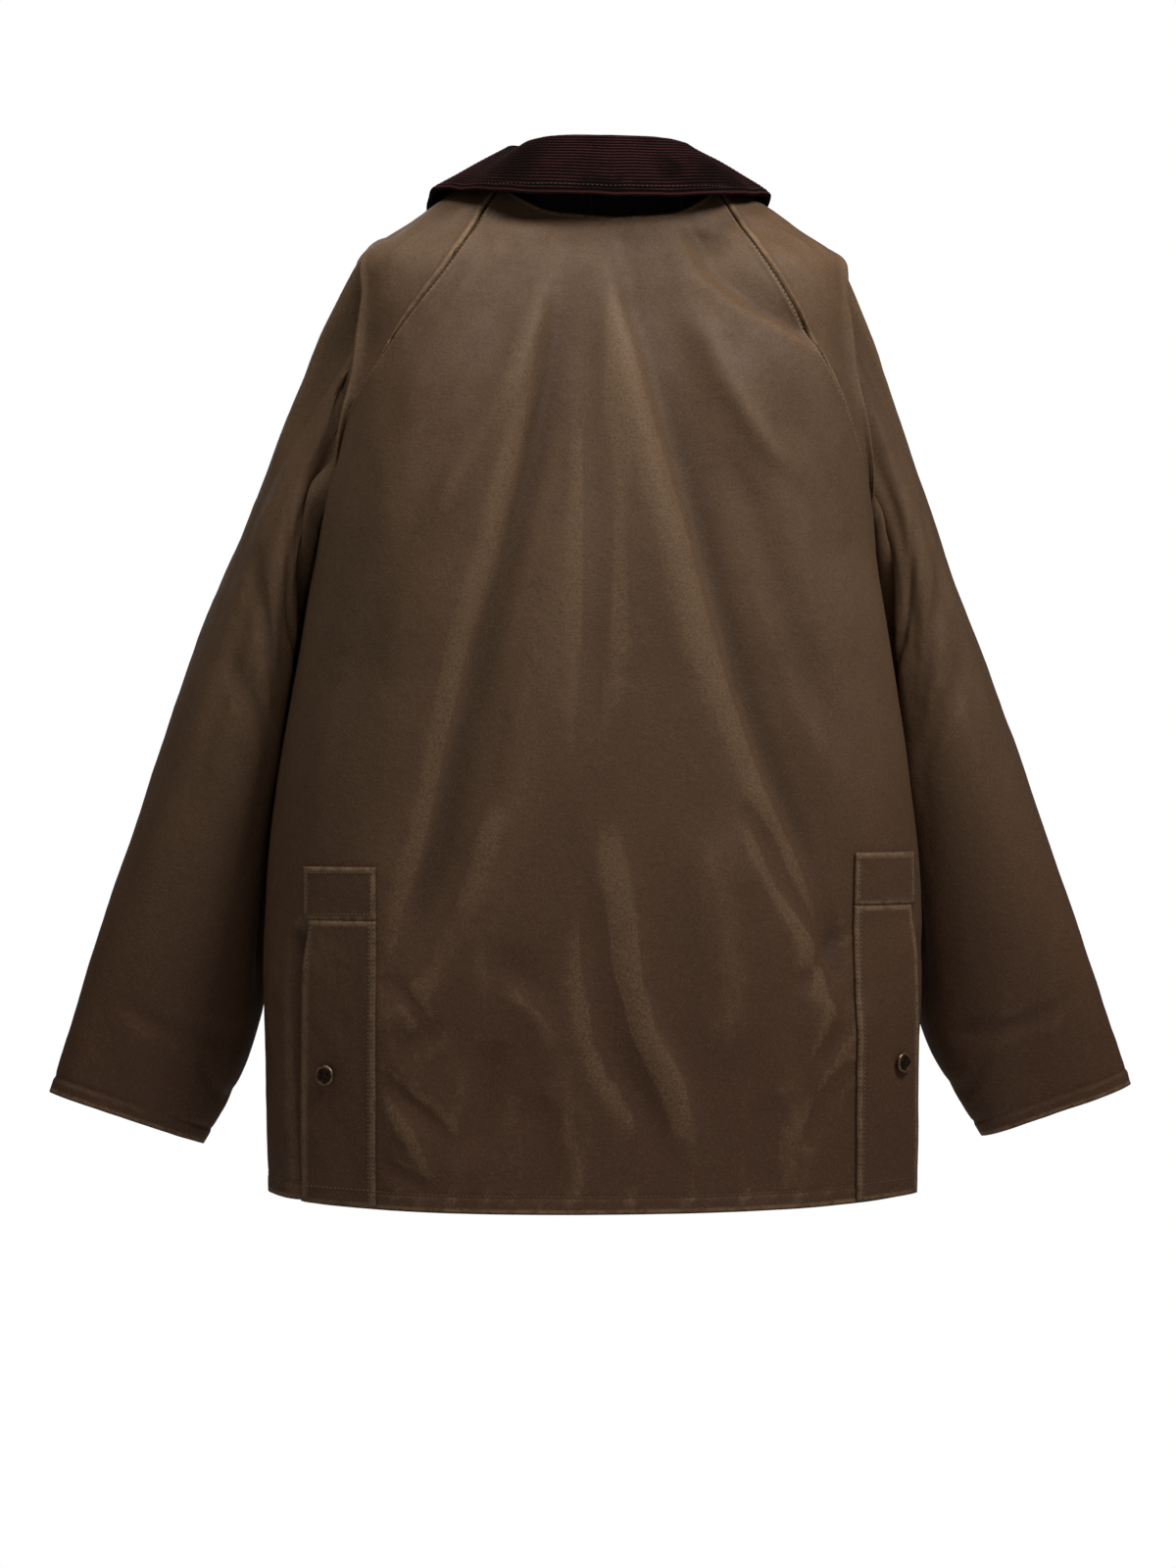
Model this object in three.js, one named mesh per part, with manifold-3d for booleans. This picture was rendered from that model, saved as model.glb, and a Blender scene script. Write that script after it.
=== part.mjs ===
// Waxed cotton jacket with raglan sleeves, a corduroy collar and two vents at the back, in the shape
// that it keeps when it is worn, with no wearer in it. Millimetres, +Z up, the wearer facing -Y, the
// wearer's left at +X. The origin is the middle of the neck opening at the height of the nape seam.
import * as THREE from 'three';
import { mergeVertices } from 'three/addons/utils/BufferGeometryUtils.js';
import Module from 'manifold-3d';

const wasm = await Module();
wasm.setup();

// Cloth
const SHELL = 2.0; // waxed cotton with its lining
const CORDUROY = 1.8;
const UNDERCOLLAR = 1.4;
const STRIP = 1.6; // a folded vent strip or patch
const SEAM_GAP = 0.3; // between two panels that are sewn together

// Heights of the main lines
const HEM_BACK = -733;
const HEM_SIDE = -723;
const HEM_FRONT = -726;
const UNDERARM = -250;
const SHOULDER_CORNER = -21;

// How the garment sits on the form
const LEAN = -5; // the neck and shoulders stand this far to the wearer's right
const LEAN_FROM = -330; // below this height nothing leans
const SIDE_SEAM_TURN = 101; // degrees round from the centre back, just forward of the widest line

// Mesh fineness
const BACK_COLUMNS = 32;
const FRONT_COLUMNS = 12;
const ROWS_BELOW = 13; // hem to underarm
const LOOP = 28; // points round a sleeve
const FINE_STEPS = 60; // samples of a curve whose length is measured
const NECK_STEPS = 2; // points of that loop on the neckline, each side of the shoulder line
const ROWS_ABOVE = LOOP / 2 - NECK_STEPS; // underarm to neckline, so panels and sleeve share seam points

const radians = THREE.MathUtils.degToRad;
const lerp = THREE.MathUtils.lerp;
const clamp = THREE.MathUtils.clamp;
const smooth = (t) => THREE.MathUtils.smoothstep(t, 0, 1);

// Sections of the body at each height: half width, the back's and front's reach, the middle, and how
// square it is
const torso = [
  { z: -760, width: 244, back: 130, front: -112, middle: 5, square: 2.35 },
  { z: -720, width: 245, back: 130, front: -112, middle: 5, square: 2.35 },
  { z: -640, width: 248, back: 132, front: -114, middle: 5, square: 2.35 },
  { z: -567, width: 250, back: 134, front: -116, middle: 5, square: 2.35 },
  { z: -500, width: 247, back: 136, front: -118, middle: 5, square: 2.35 },
  { z: -427, width: 240, back: 138, front: -121, middle: 4, square: 2.35 },
  { z: -350, width: 229, back: 140, front: -125, middle: 4, square: 2.35 },
  { z: -300, width: 220, back: 140, front: -127, middle: 5, square: 2.5 },
  { z: -250, width: 212, back: 139, front: -127, middle: 6, square: 2.62 },
  { z: -215, width: 207, back: 137, front: -125, middle: 8, square: 2.7 },
  { z: -170, width: 201, back: 133, front: -120, middle: 10, square: 2.72 },
  { z: -130, width: 195, back: 128, front: -110, middle: 11, square: 2.66 },
  { z: -95, width: 190, back: 120, front: -99, middle: 12, square: 2.55 },
  { z: -60, width: 187, back: 108, front: -82, middle: 14, square: 2.42 },
  { z: -35, width: 185, back: 96, front: -70, middle: 15, square: 2.3 },
  { z: -21, width: 179, back: 88, front: -66, middle: 15, square: 2.2 },
  { z: -12, width: 165, back: 84, front: -63, middle: 15, square: 2.1 },
  { z: 0, width: 147, back: 78, front: -60, middle: 15, square: 1.78 },
  { z: 17, width: 123, back: 74, front: -54, middle: 15, square: 1.7 },
  { z: 28, width: 104, back: 70, front: -50, middle: 15, square: 1.68 },
  { z: 40, width: 82, back: 62, front: -40, middle: 15, square: 1.65 },
  { z: 60, width: 60, back: 52, front: -30, middle: 15, square: 1.6 },
];

// The neckline: how high it runs at each turn from the centre back round to the centre front
const neckline = [
  { turn: 0, z: 0 },
  { turn: 20, z: 4 },
  { turn: 37, z: 16 },
  { turn: 53, z: 28 },
  { turn: 72, z: 37 },
  { turn: 90, z: 40 },
  { turn: 110, z: 36 },
  { turn: 128, z: 26 },
  { turn: 157, z: -18 },
  { turn: 180, z: -48 },
];
const RAGLAN_TURN_BACK = 53; // where the raglan seams meet the neckline
const RAGLAN_TURN_FRONT = 128;

// The raglan seam, from the neckline to the underarm: half width and height of the four points of its curve
const raglan = [
  { x: 80, z: 28 },
  { x: 120, z: -40 },
  { x: 173, z: -116 },
  { x: 212, z: UNDERARM },
];

// Large folds of the back: each runs from its top to its end, bows sideways between them and fades at
// both ends. A positive depth is a trough and a negative one a ridge. x is towards the wearer's left.
const backFolds = [
  { topX: -14, topZ: -16, endX: -176, endZ: -560, bow: 26, half: 19, depth: 8 },
  { topX: 20, topZ: -16, endX: 152, endZ: -570, bow: -7, half: 17, depth: 6.5 },
  { topX: -48, topZ: -4, endX: -184, endZ: -215, bow: -20, half: 17, depth: 8 },
  { topX: 52, topZ: -16, endX: 134, endZ: -225, bow: 6, half: 15, depth: 4 },
  { topX: 86, topZ: -10, endX: 146, endZ: -150, bow: 2, half: 13, depth: 3 },
  { topX: -88, topZ: -110, endX: -186, endZ: -380, bow: 8, half: 18, depth: 4 },
  { topX: -96, topZ: -430, endX: -172, endZ: -610, bow: 4, half: 14, depth: 5 },
  { topX: -2, topZ: -20, endX: -104, endZ: -620, bow: 14, half: 24, depth: -6 },
  { topX: 64, topZ: -120, endX: 190, endZ: -520, bow: -4, half: 26, depth: -4 },
  { topX: 6, topZ: -330, endX: -8, endZ: -735, bow: 0, half: 22, depth: 3 },
  { topX: 70, topZ: -470, endX: 96, endZ: -740, bow: 0, half: 30, depth: 4 },
];

// Large folds of the fronts, the same on both sides: x is the distance from the centre front
const frontFolds = [
  { topX: 62, topZ: -80, endX: 150, endZ: -560, bow: -8, half: 20, depth: 6 },
  { topX: 96, topZ: -60, endX: 182, endZ: -250, bow: 10, half: 17, depth: 6 },
  { topX: 40, topZ: -160, endX: 84, endZ: -730, bow: 4, half: 28, depth: -5 },
  { topX: 118, topZ: -470, endX: 176, endZ: -730, bow: 0, half: 24, depth: 5 },
];

// Sections of the sleeve below the shoulder: its outer line, its inner line, and half its thickness
// between them
const sleeveSections = [
  { outX: 208, outY: 3, outZ: -76, inX: 219, inY: -8, inZ: -266, half: 50 },
  { outX: 236, outY: -6, outZ: -150, inX: 217, inY: -20, inZ: -288, half: 59 },
  { outX: 265, outY: -13, outZ: -225, inX: 216, inY: -30, inZ: -318, half: 64 },
  { outX: 295, outY: -20, outZ: -305, inX: 215, inY: -42, inZ: -364, half: 65 },
  { outX: 324, outY: -27, outZ: -385, inX: 221, inY: -52, inZ: -426, half: 62 },
  { outX: 353, outY: -34, outZ: -465, inX: 231, inY: -60, inZ: -504, half: 55 },
  { outX: 386, outY: -42, outZ: -560, inX: 251, inY: -65, inZ: -600, half: 42 },
  { outX: 401, outY: -46, outZ: -606, inX: 273, inY: -63, inZ: -648, half: 33 },
  { outX: 416, outY: -50, outZ: -652, inX: 301, inY: -60, inZ: -692, half: 23 },
];
const SLEEVE_SQUARE = 2.25;
const SLEEVE_STEPS_PER_SECTION = 2;
const CAP_STEPS = 5; // rings from the raglan seam to the crease at the shoulder's edge
const EASED_ROWS = 11; // rings below the seam that are eased in full
const EASE_TIMES = 12;
const EASE_SHARE = 0.6;
const SLEEVE_TOUCH = 0.8; // the least that a sleeve is clear of the body
const CREASE_TURN = 15; // how far behind and in front of the side the crease runs, in degrees
const SLEEVE_CLEARANCE = 3; // between a sleeve and the body it hangs beside
const SLEEVE_SWING = -9; // both sleeves hang this far towards the wearer's right at the cuffs
const UNDERARM_SHARE = 0.7; // the part of the sleeve's upper edge that lies above the underarm
const UNDERARM_FOLD = 6; // how far out the sleeve turns at the underarm before it hangs down
// Folds along a sleeve: where round it (0 outer, 0.25 back, 0.5 inner, 0.75 front) at the top and the cuff
const sleeveFolds = [
  { from: 0.3, to: 0.36, half: 0.045, start: 0.05, stop: 0.86, depth: 7 },
  { from: 0.16, to: 0.13, half: 0.04, start: 0.0, stop: 0.7, depth: 4 },
  { from: 0.8, to: 0.76, half: 0.05, start: 0.05, stop: 0.8, depth: 6 },
  { from: 0.66, to: 0.64, half: 0.04, start: 0.0, stop: 0.55, depth: 4 },
];

// Collar, by turn round the neck: how far the stand leans in and rises, and how far the fall reaches out
// and down
const collarRows = [
  { turn: 0, inward: 25, rise: 62, out: 39, down: 48 },
  { turn: 40, inward: 26, rise: 42, out: 42, down: 41 },
  { turn: 65, inward: 22, rise: 21, out: 50, down: 34 },
  { turn: 90, inward: 18, rise: 18, out: 58, down: 34 },
  { turn: 128, inward: 13, rise: 22, out: 56, down: 46 },
  { turn: 157, inward: 7, rise: 22, out: 50, down: 60 },
  { turn: 174, inward: 3, rise: 16, out: 46, down: 72 },
];
const COLLAR_END_TURN = 174;
const STAND_SHARES = [0, 0.3, 0.62, 0.9]; // rows of the stand, from the neck to the roll
const ROLL_ANGLES = [180, 130, 85, 40]; // rows round the roll, from the neck side over the top, in degrees
const LEAF_SHARES = [0.25, 0.5, 0.75, 1]; // rows of the fall, from the roll to its edge
const COLLAR_COLUMNS = 36;
const COLLAR_ROLL = 5; // radius of the fold at the top
const COLLAR_LAYER_GAP = 0.4;
const COLLAR_MIDDLE = 10; // the middle of the neck opening, from the origin towards the back
const COLLAR_SEAM = 1.6; // above the neck edge of the panels
const COLLAR_BULGE = 3; // how far the fall bows out
const COLLAR_REST = 4; // how far its edge stays above the shoulders

// Vents of the back
const VENT_X = 204.5; // middle of a strip, from the middle of the back
const VENT_WIDTH = 47;
const VENT_SLIDE = -8; // the cloth has slid round the form, towards the wearer's right
const vents = {
  left: { side: 1, top: -480, above: 0.9, studX: 205.5, studZ: -632 },
  right: { side: -1, top: -470, above: 1.3, studX: -218.5, studZ: -624 },
};
const PATCH_HEIGHT = 39;
const PATCH_OVERHANG = 3; // past the strip's free edge
const FLY_ABOVE = 1.2; // the fly's height above the fronts
const STRIP_LIFT = 5; // how far its free edge stands off
const SLIT_WIDTH = 2.5;
const SLIT_PAST = 60; // how far the cut goes past the cloth
const STUD_RADIUS = 7.8;
const STUD_HEIGHT = 3;
const HEM_TURN = 1; // how far a strip stops above the hem
const STUD_GAP = 0.3;
const STUD_FACETS = 20;
const STUD_TIP = 0.75; // share of its radius that a stud needs to clear the rise of its strip

// Fly of the front, held by press studs like those of the vents
const FRONT_EDGE = 0.4; // from the centre front to each panel's edge
const FLY_LEFT = 22; // how far the fly reaches to each side of the centre front
const FLY_RIGHT = -34;
const FLY_TOP = -62;
const FLY_STUDS = 5;
const FLY_STUD_X = -20;
const FLY_STUD_TOP = -104;
const FLY_STUD_PITCH = 130;

// Reads one column of a table at a value of its key column, with a curve that never overshoots the rows.
function read(table, key, at, column) {
  const down = table[0][key] > table[table.length - 1][key];
  const rows = down ? [...table].reverse() : table;
  const x = rows.map((row) => row[key]);
  const y = rows.map((row) => row[column]);
  const t = clamp(at, x[0], x[x.length - 1]);
  let i = 0;
  while (i < x.length - 2 && t > x[i + 1]) i += 1;
  const slope = (k) => (y[k + 1] - y[k]) / (x[k + 1] - x[k]);
  const tangent = (k) => {
    if (k === 0) return slope(0);
    if (k === x.length - 1) return slope(k - 1);
    const before = slope(k - 1);
    const after = slope(k);
    return before * after <= 0 ? 0 : (2 * before * after) / (before + after);
  };
  const h = x[i + 1] - x[i];
  const s = (t - x[i]) / h;
  return (
    y[i] * (1 + 2 * s) * (1 - s) ** 2 +
    h * tangent(i) * s * (1 - s) ** 2 +
    y[i + 1] * s * s * (3 - 2 * s) +
    h * tangent(i + 1) * s * s * (s - 1)
  );
}

const power = (value, exponent) => Math.sign(value) * Math.abs(value) ** exponent;

// How deep the folds of a table are at a point of the cloth.
function foldDepth(folds, x, z) {
  return folds.reduce((sum, fold) => {
    const q = (fold.topZ - z) / (fold.topZ - fold.endZ);
    if (q <= 0 || q >= 1) return sum;
    const line = lerp(fold.topX, fold.endX, q) + fold.bow * 4 * q * (1 - q);
    const across = (x - line) / (fold.half * (0.75 + 0.5 * q));
    return sum + fold.depth * Math.exp(-across * across) * smooth(q / 0.15) * smooth((1 - q) / 0.3);
  }, 0);
}

const leanAt = (z) => LEAN * smooth((z - LEAN_FROM) / -LEAN_FROM);

// A point of the body's surface: turn in degrees from the centre back (0) past the wearer's left side
// (90) to the centre front (180), or the other way round for negative turns.
function bodyPoint(turn, z) {
  const section = (column) => read(torso, 'z', z, column);
  const square = section('square');
  const middle = section('middle');
  const side = Math.sin(radians(turn));
  const fore = Math.cos(radians(turn));
  const reach = fore >= 0 ? section('back') - middle : middle - section('front');
  const x = section('width') * power(side, 2 / square);
  const fold = fore >= 0 ? foldDepth(backFolds, x, z) : foldDepth(frontFolds, Math.abs(x), z);
  const y = middle + (reach - fold * Math.sqrt(Math.abs(fore))) * power(fore, 2 / square);
  return new THREE.Vector3(x + leanAt(z), y, z);
}

// The direction out of the cloth at a point of the body.
function bodyNormal(turn, z) {
  const step = 1.5;
  const across = bodyPoint(turn + step, z).sub(bodyPoint(turn - step, z));
  const up = bodyPoint(turn, z + step).sub(bodyPoint(turn, z - step));
  return across.cross(up).normalize().negate();
}

// The turn at which the body is x wide at a height, on the back or the front.
function turnAt(x, z, onFront) {
  const share = clamp(Math.abs(x) / read(torso, 'z', z, 'width'), 0, 1);
  const turn = THREE.MathUtils.radToDeg(Math.asin(share ** (read(torso, 'z', z, 'square') / 2)));
  return Math.sign(x) * (onFront ? 180 - turn : turn);
}

// A place on the raglan seam of the wearer's left: 0 is at the neckline and 1 at the underarm.
function raglanPlace(share, onFront) {
  const weights = [(1 - share) ** 3, 3 * share * (1 - share) ** 2, 3 * share ** 2 * (1 - share), share ** 3];
  const sum = (axis) => raglan.reduce((total, point, k) => total + point[axis] * weights[k], 0);
  const z = sum('z');
  const neckTurn = onFront ? RAGLAN_TURN_FRONT : RAGLAN_TURN_BACK;
  const start = read(neckline, 'turn', neckTurn, 'z') - raglan[0].z;
  const height = z + start * (1 - share) ** 2;
  const turn = turnAt(sum('x'), height, onFront);
  const fix = neckTurn - turnAt(raglan[0].x, raglan[0].z + start, onFront);
  return { turn: turn + fix * (1 - share) ** 2, z: height };
}

const hemHeight = (turn) => {
  const fore = Math.cos(radians(turn));
  return lerp(HEM_SIDE, fore > 0 ? HEM_BACK : HEM_FRONT, Math.abs(fore) ** 1.3);
};

// The edge of the body panels on the wearer's left at a row: up the side seam, then up the raglan seam.
function panelEdge(row, onFront) {
  if (row <= ROWS_BELOW) {
    const share = row / ROWS_BELOW;
    const turn = lerp(SIDE_SEAM_TURN, 90, smooth((share - 0.8) / 0.2));
    return { turn, z: lerp(hemHeight(turn), UNDERARM, share) };
  }
  return seamPlace(LOOP / 2 - (row - ROWS_BELOW), onFront);
}

// Shares of the raglan curve that cut it into stretches of equal length, on the back or the front.
function evenShares(onFront) {
  const fine = Array.from({ length: FINE_STEPS + 1 }, (_, k) => k / FINE_STEPS);
  const points = fine.map((share) => {
    const { turn, z } = raglanPlace(share, onFront);
    return bodyPoint(turn, z);
  });
  const length = [0];
  points.slice(1).forEach((p, k) => length.push(length[k] + p.distanceTo(points[k])));
  const rows = fine.map((share, k) => ({ share, length: length[k] }));
  const whole = length[FINE_STEPS];
  return Array.from({ length: ROWS_ABOVE + 1 }, (_, k) => ({
    step: k,
    share: read(rows, 'length', (whole * k) / ROWS_ABOVE, 'share'),
  }));
}
const seamShares = { back: evenShares(false), front: evenShares(true) };

// A place on the sleeve's upper edge: 0 is at the neckline over the shoulder and half a loop is at the
// underarm.
function seamPlace(step, onFront) {
  if (step > NECK_STEPS) {
    const shares = seamShares[onFront ? 'front' : 'back'];
    return raglanPlace(read(shares, 'step', step - NECK_STEPS, 'share'), onFront);
  }
  const turn = lerp(90, onFront ? RAGLAN_TURN_FRONT : RAGLAN_TURN_BACK, step / NECK_STEPS);
  return { turn, z: read(neckline, 'turn', turn, 'z') };
}

// Makes one closed solid from a grid of outer points and the directions out of the cloth at them.
function clothSolid(points, normals, thickness, isTube = false) {
  const rows = points.length;
  const columns = points[0].length;
  const flat = [];
  points.forEach((row) => row.forEach((p) => flat.push(p.x, p.y, p.z)));
  points.forEach((row, i) =>
    row.forEach((p, j) => {
      const inner = p.clone().addScaledVector(normals[i][j], -thickness);
      flat.push(inner.x, inner.y, inner.z);
    }),
  );
  const outer = (i, j) => i * columns + (isTube ? j % columns : j);
  const inner = (i, j) => rows * columns + outer(i, j);
  const index = [];
  const quad = (a, b, c, d) => index.push(a, b, c, a, c, d);
  const lastColumn = isTube ? columns : columns - 1;
  for (let i = 0; i < rows - 1; i += 1) {
    for (let j = 0; j < lastColumn; j += 1) {
      quad(outer(i, j), outer(i, j + 1), outer(i + 1, j + 1), outer(i + 1, j));
      quad(inner(i, j), inner(i + 1, j), inner(i + 1, j + 1), inner(i, j + 1));
    }
  }
  for (let j = 0; j < lastColumn; j += 1) {
    quad(outer(0, j), inner(0, j), inner(0, j + 1), outer(0, j + 1));
    quad(outer(rows - 1, j), outer(rows - 1, j + 1), inner(rows - 1, j + 1), inner(rows - 1, j));
  }
  for (let i = 0; !isTube && i < rows - 1; i += 1) {
    quad(outer(i, 0), outer(i + 1, 0), inner(i + 1, 0), inner(i, 0));
    quad(outer(i, columns - 1), inner(i, columns - 1), inner(i + 1, columns - 1), outer(i + 1, columns - 1));
  }
  const geometry = new THREE.BufferGeometry();
  geometry.setAttribute('position', new THREE.Float32BufferAttribute(flat, 3));
  geometry.setIndex(index);
  return facingOut(geometry);
}

// Turns a closed geometry's faces round if they point inwards.
function facingOut(geometry) {
  const position = geometry.getAttribute('position');
  const index = geometry.getIndex().array;
  const corner = (k) => new THREE.Vector3().fromBufferAttribute(position, index[k]);
  let volume = 0;
  for (let k = 0; k < index.length; k += 3) {
    volume += corner(k).dot(corner(k + 1).cross(corner(k + 2)));
  }
  for (let k = 0; volume < 0 && k < index.length; k += 3) {
    [index[k + 1], index[k + 2]] = [index[k + 2], index[k + 1]];
  }
  return geometry;
}

// Directions out of a grid of points, taken from the grid itself. `sample` is a place in it with a
// direction that points out there.
function gridNormals(points, isTube, sample) {
  const rows = points.length;
  const columns = points[0].length;
  const wrap = (j) => (isTube ? (j + columns) % columns : clamp(j, 0, columns - 1));
  const normals = points.map((row, i) =>
    row.map((p, j) => {
      const along = points[Math.min(i + 1, rows - 1)][j].clone().sub(points[Math.max(i - 1, 0)][j]);
      const across = row[wrap(j + 1)].clone().sub(row[wrap(j - 1)]);
      return across.cross(along).normalize();
    }),
  );
  if (normals[sample.row][sample.column].dot(sample.out) < 0) normals.flat().forEach((n) => n.negate());
  return normals;
}

// Directions out of a tube, each averaged with its neighbours, so that the wall doesn't cut itself in a
// sharp fold.
function softened(normals) {
  const rows = normals.length;
  return normals.map((row, i) =>
    row.map((n, j) => {
      const columns = row.length;
      const around = [row[(j + 1) % columns], row[(j + columns - 1) % columns]];
      const along = [normals[Math.min(i + 1, rows - 1)][j], normals[Math.max(i - 1, 0)][j]];
      return [...around, ...along].reduce((sum, m) => sum.add(m), n.clone()).normalize();
    }));
}

// The direction along the body's surface from a panel into the sleeve, square to the raglan seam.
function intoSleeve(step, onFront, side) {
  const half = LOOP / 2;
  if (step === half) return new THREE.Vector3(0, 0, 1);
  const at = (k) => {
    const place = seamPlace(clamp(k, 0, half), onFront);
    return bodyPoint(side * place.turn, place.z);
  };
  const place = seamPlace(step, onFront);
  const across = at(step + 1).sub(at(step - 1)).cross(bodyNormal(side * place.turn, place.z)).normalize();
  return across.multiplyScalar((onFront ? -1 : 1) * side);
}

// The direction in which the raglan seam's two edges have their thickness. It tips down at the underarm,
// where the sleeve turns back beside the body.
function seamNormal(step, onFront, side) {
  const place = seamPlace(step, onFront);
  const tip = smooth((step / (LOOP / 2) - UNDERARM_SHARE) / (1 - UNDERARM_SHARE));
  return bodyNormal(side * place.turn, place.z).sub(new THREE.Vector3(0, 0, tip)).normalize();
}

// Moves one edge of a panel in by half the seam gap, so that two sewn panels don't touch. The edge
// follows the side seam up to the underarm and the raglan seam above it, or is a free edge where no side
// is named.
function drawIn(points, normals, column, onFront, side) {
  const next = column === 0 ? 1 : column - 1;
  points.forEach((row, i) => {
    const step = LOOP / 2 - (i - ROWS_BELOW);
    const pull = i < ROWS_BELOW
      ? row[next].clone().sub(row[column]).normalize()
      : intoSleeve(step, onFront, side).negate();
    row[column].addScaledVector(pull, SEAM_GAP * 0.6);
    if (i >= ROWS_BELOW) normals[i][column] = seamNormal(step, onFront, side);
  });
}

function material(colour, roughness, metalness = 0) {
  return new THREE.MeshStandardMaterial({ color: colour, roughness, metalness });
}
const waxedCotton = material(0x5b4936, 0.55);
const waxedCottonTrim = material(0x54422f, 0.55);
const corduroy = material(0x27161a, 0.9);
const darkCloth = material(0x15171c, 0.85);
const agedBrass = material(0x3a2a1c, 0.4, 0.9);

const jacket = new THREE.Group();
function add(name, geometry, finish) {
  const mesh = new THREE.Mesh(geometry, finish);
  mesh.name = name;
  jacket.add(mesh);
  return mesh;
}

// A panel's grid of places: each row runs from one edge to the other, each place is a turn and a height.
function panelSolid(places, sewnEdges) {
  const points = places.map((row) => row.map(({ turn, z }) => bodyPoint(turn, z)));
  const normals = places.map((row) => row.map(({ turn, z }) => bodyNormal(turn, z)));
  sewnEdges.forEach(({ column, onFront, side }) => drawIn(points, normals, column, onFront, side));
  return clothSolid(points, normals, SHELL);
}

// Back
function backPlaces() {
  const rows = [];
  for (let i = 0; i <= ROWS_BELOW + ROWS_ABOVE; i += 1) {
    const edge = panelEdge(i, false);
    const share = i / (ROWS_BELOW + ROWS_ABOVE);
    const centre = i <= ROWS_BELOW
      ? lerp(HEM_BACK, UNDERARM + 30, i / ROWS_BELOW)
      : lerp(UNDERARM + 30, 0, (i - ROWS_BELOW) / ROWS_ABOVE);
    const row = [];
    for (let j = 0; j <= BACK_COLUMNS; j += 1) {
      const across = (2 * j) / BACK_COLUMNS - 1;
      const turn = across * edge.turn;
      const body = lerp(centre, edge.z, Math.abs(across) ** 2);
      const hem = hemHeight(turn);
      const top = read(neckline, 'turn', Math.abs(across) * RAGLAN_TURN_BACK, 'z');
      const nearHem = smooth(1 - share * 4);
      const nearTop = smooth((share - 0.72) / 0.28);
      const z = lerp(lerp(body, hem + centre - HEM_BACK, nearHem), top + centre, nearTop);
      row.push({ turn, z: Math.abs(across) === 1 ? edge.z : z });
    }
    rows.push(row);
  }
  return rows;
}

function slitCut({ side, top }) {
  const x = side * VENT_X + VENT_SLIDE;
  const height = (HEM_SIDE + top) / 2;
  const turn = turnAt(x, height, false);
  const point = bodyPoint(turn, height);
  const normal = bodyNormal(turn, height);
  const end = top - PATCH_HEIGHT;
  const long = end - HEM_BACK + SLIT_PAST;
  const blade = new THREE.BoxGeometry(SLIT_WIDTH, SLIT_PAST, long);
  blade.rotateZ(Math.atan2(normal.y, normal.x) - Math.PI / 2);
  blade.translate(point.x, point.y, end - long / 2);
  return blade;
}

function toSolid(geometry) {
  const bare = new THREE.BufferGeometry();
  bare.setAttribute('position', geometry.getAttribute('position').clone());
  bare.setIndex(geometry.getIndex());
  const merged = mergeVertices(bare, 1e-4);
  return new wasm.Manifold(
    new wasm.Mesh({
      numProp: 3,
      vertProperties: new Float32Array(merged.getAttribute('position').array),
      triVerts: new Uint32Array(merged.getIndex().array),
    }),
  );
}

function toGeometry(solid) {
  const mesh = solid.getMesh();
  const geometry = new THREE.BufferGeometry();
  geometry.setAttribute('position', new THREE.BufferAttribute(new Float32Array(mesh.vertProperties), 3));
  geometry.setIndex(new THREE.BufferAttribute(new Uint32Array(mesh.triVerts), 1));
  return geometry;
}

const wholeBack = panelSolid(backPlaces(), [
  { column: 0, onFront: false, side: -1 },
  { column: BACK_COLUMNS, onFront: false, side: 1 },
]);
const slitBack = Object.values(vents).reduce(
  (solid, vent) => solid.subtract(toSolid(slitCut(vent))),
  toSolid(wholeBack),
);
add('back', toGeometry(slitBack), waxedCotton);

// Fronts
function frontPlaces(side) {
  const rows = [];
  const frontNeck = read(neckline, 'turn', 180, 'z');
  for (let i = 0; i <= ROWS_BELOW + ROWS_ABOVE; i += 1) {
    const edge = panelEdge(i, true);
    const share = i / (ROWS_BELOW + ROWS_ABOVE);
    const centre = i <= ROWS_BELOW
      ? lerp(HEM_FRONT, UNDERARM, i / ROWS_BELOW)
      : lerp(UNDERARM, frontNeck, (i - ROWS_BELOW) / ROWS_ABOVE);
    const row = [];
    for (let j = 0; j <= FRONT_COLUMNS; j += 1) {
      const across = j / FRONT_COLUMNS;
      const closing = turnAt(FRONT_EDGE, centre, true);
      const turn = lerp(edge.turn, closing, across);
      const body = lerp(edge.z, centre, smooth(across) * 0.4 + across * 0.6);
      const top = read(neckline, 'turn', lerp(RAGLAN_TURN_FRONT, 180, across), 'z') + (centre - frontNeck);
      const low = hemHeight(turn) + (centre - HEM_FRONT);
      const z = lerp(lerp(body, low, smooth(1 - share * 4)), top, smooth((share - 0.72) / 0.28));
      row.push({ turn: side * turn, z: j === 0 ? edge.z : z });
    }
    rows.push(row);
  }
  return rows;
}
add('front_left', panelSolid(frontPlaces(1), [{ column: 0, onFront: true, side: 1 }]), waxedCotton);
add('front_right', panelSolid(frontPlaces(-1), [{ column: 0, onFront: true, side: -1 }]), waxedCotton);

// Sleeves The place on the body of each point of a ring between the raglan seam (0) and the crease at
// the shoulder (1).
function capPlace(j, share) {
  const half = LOOP / 2;
  const onFront = j > half;
  const k = onFront ? LOOP - j : j;
  const seam = seamPlace(k, onFront);
  const sweep = Math.sqrt(1 - ((2 * k) / half - 1) ** 2);
  const crease = {
    turn: 90 + (onFront ? 1 : -1) * CREASE_TURN * sweep,
    z: lerp(SHOULDER_CORNER, UNDERARM + 0.5, (k / half) ** 1.15),
  };
  const lift = UNDERARM_FOLD * share * smooth((k / half - UNDERARM_SHARE) / (1 - UNDERARM_SHARE));
  return { turn: lerp(seam.turn, crease.turn, share), z: lerp(seam.z, crease.z, share), lift };
}

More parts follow.
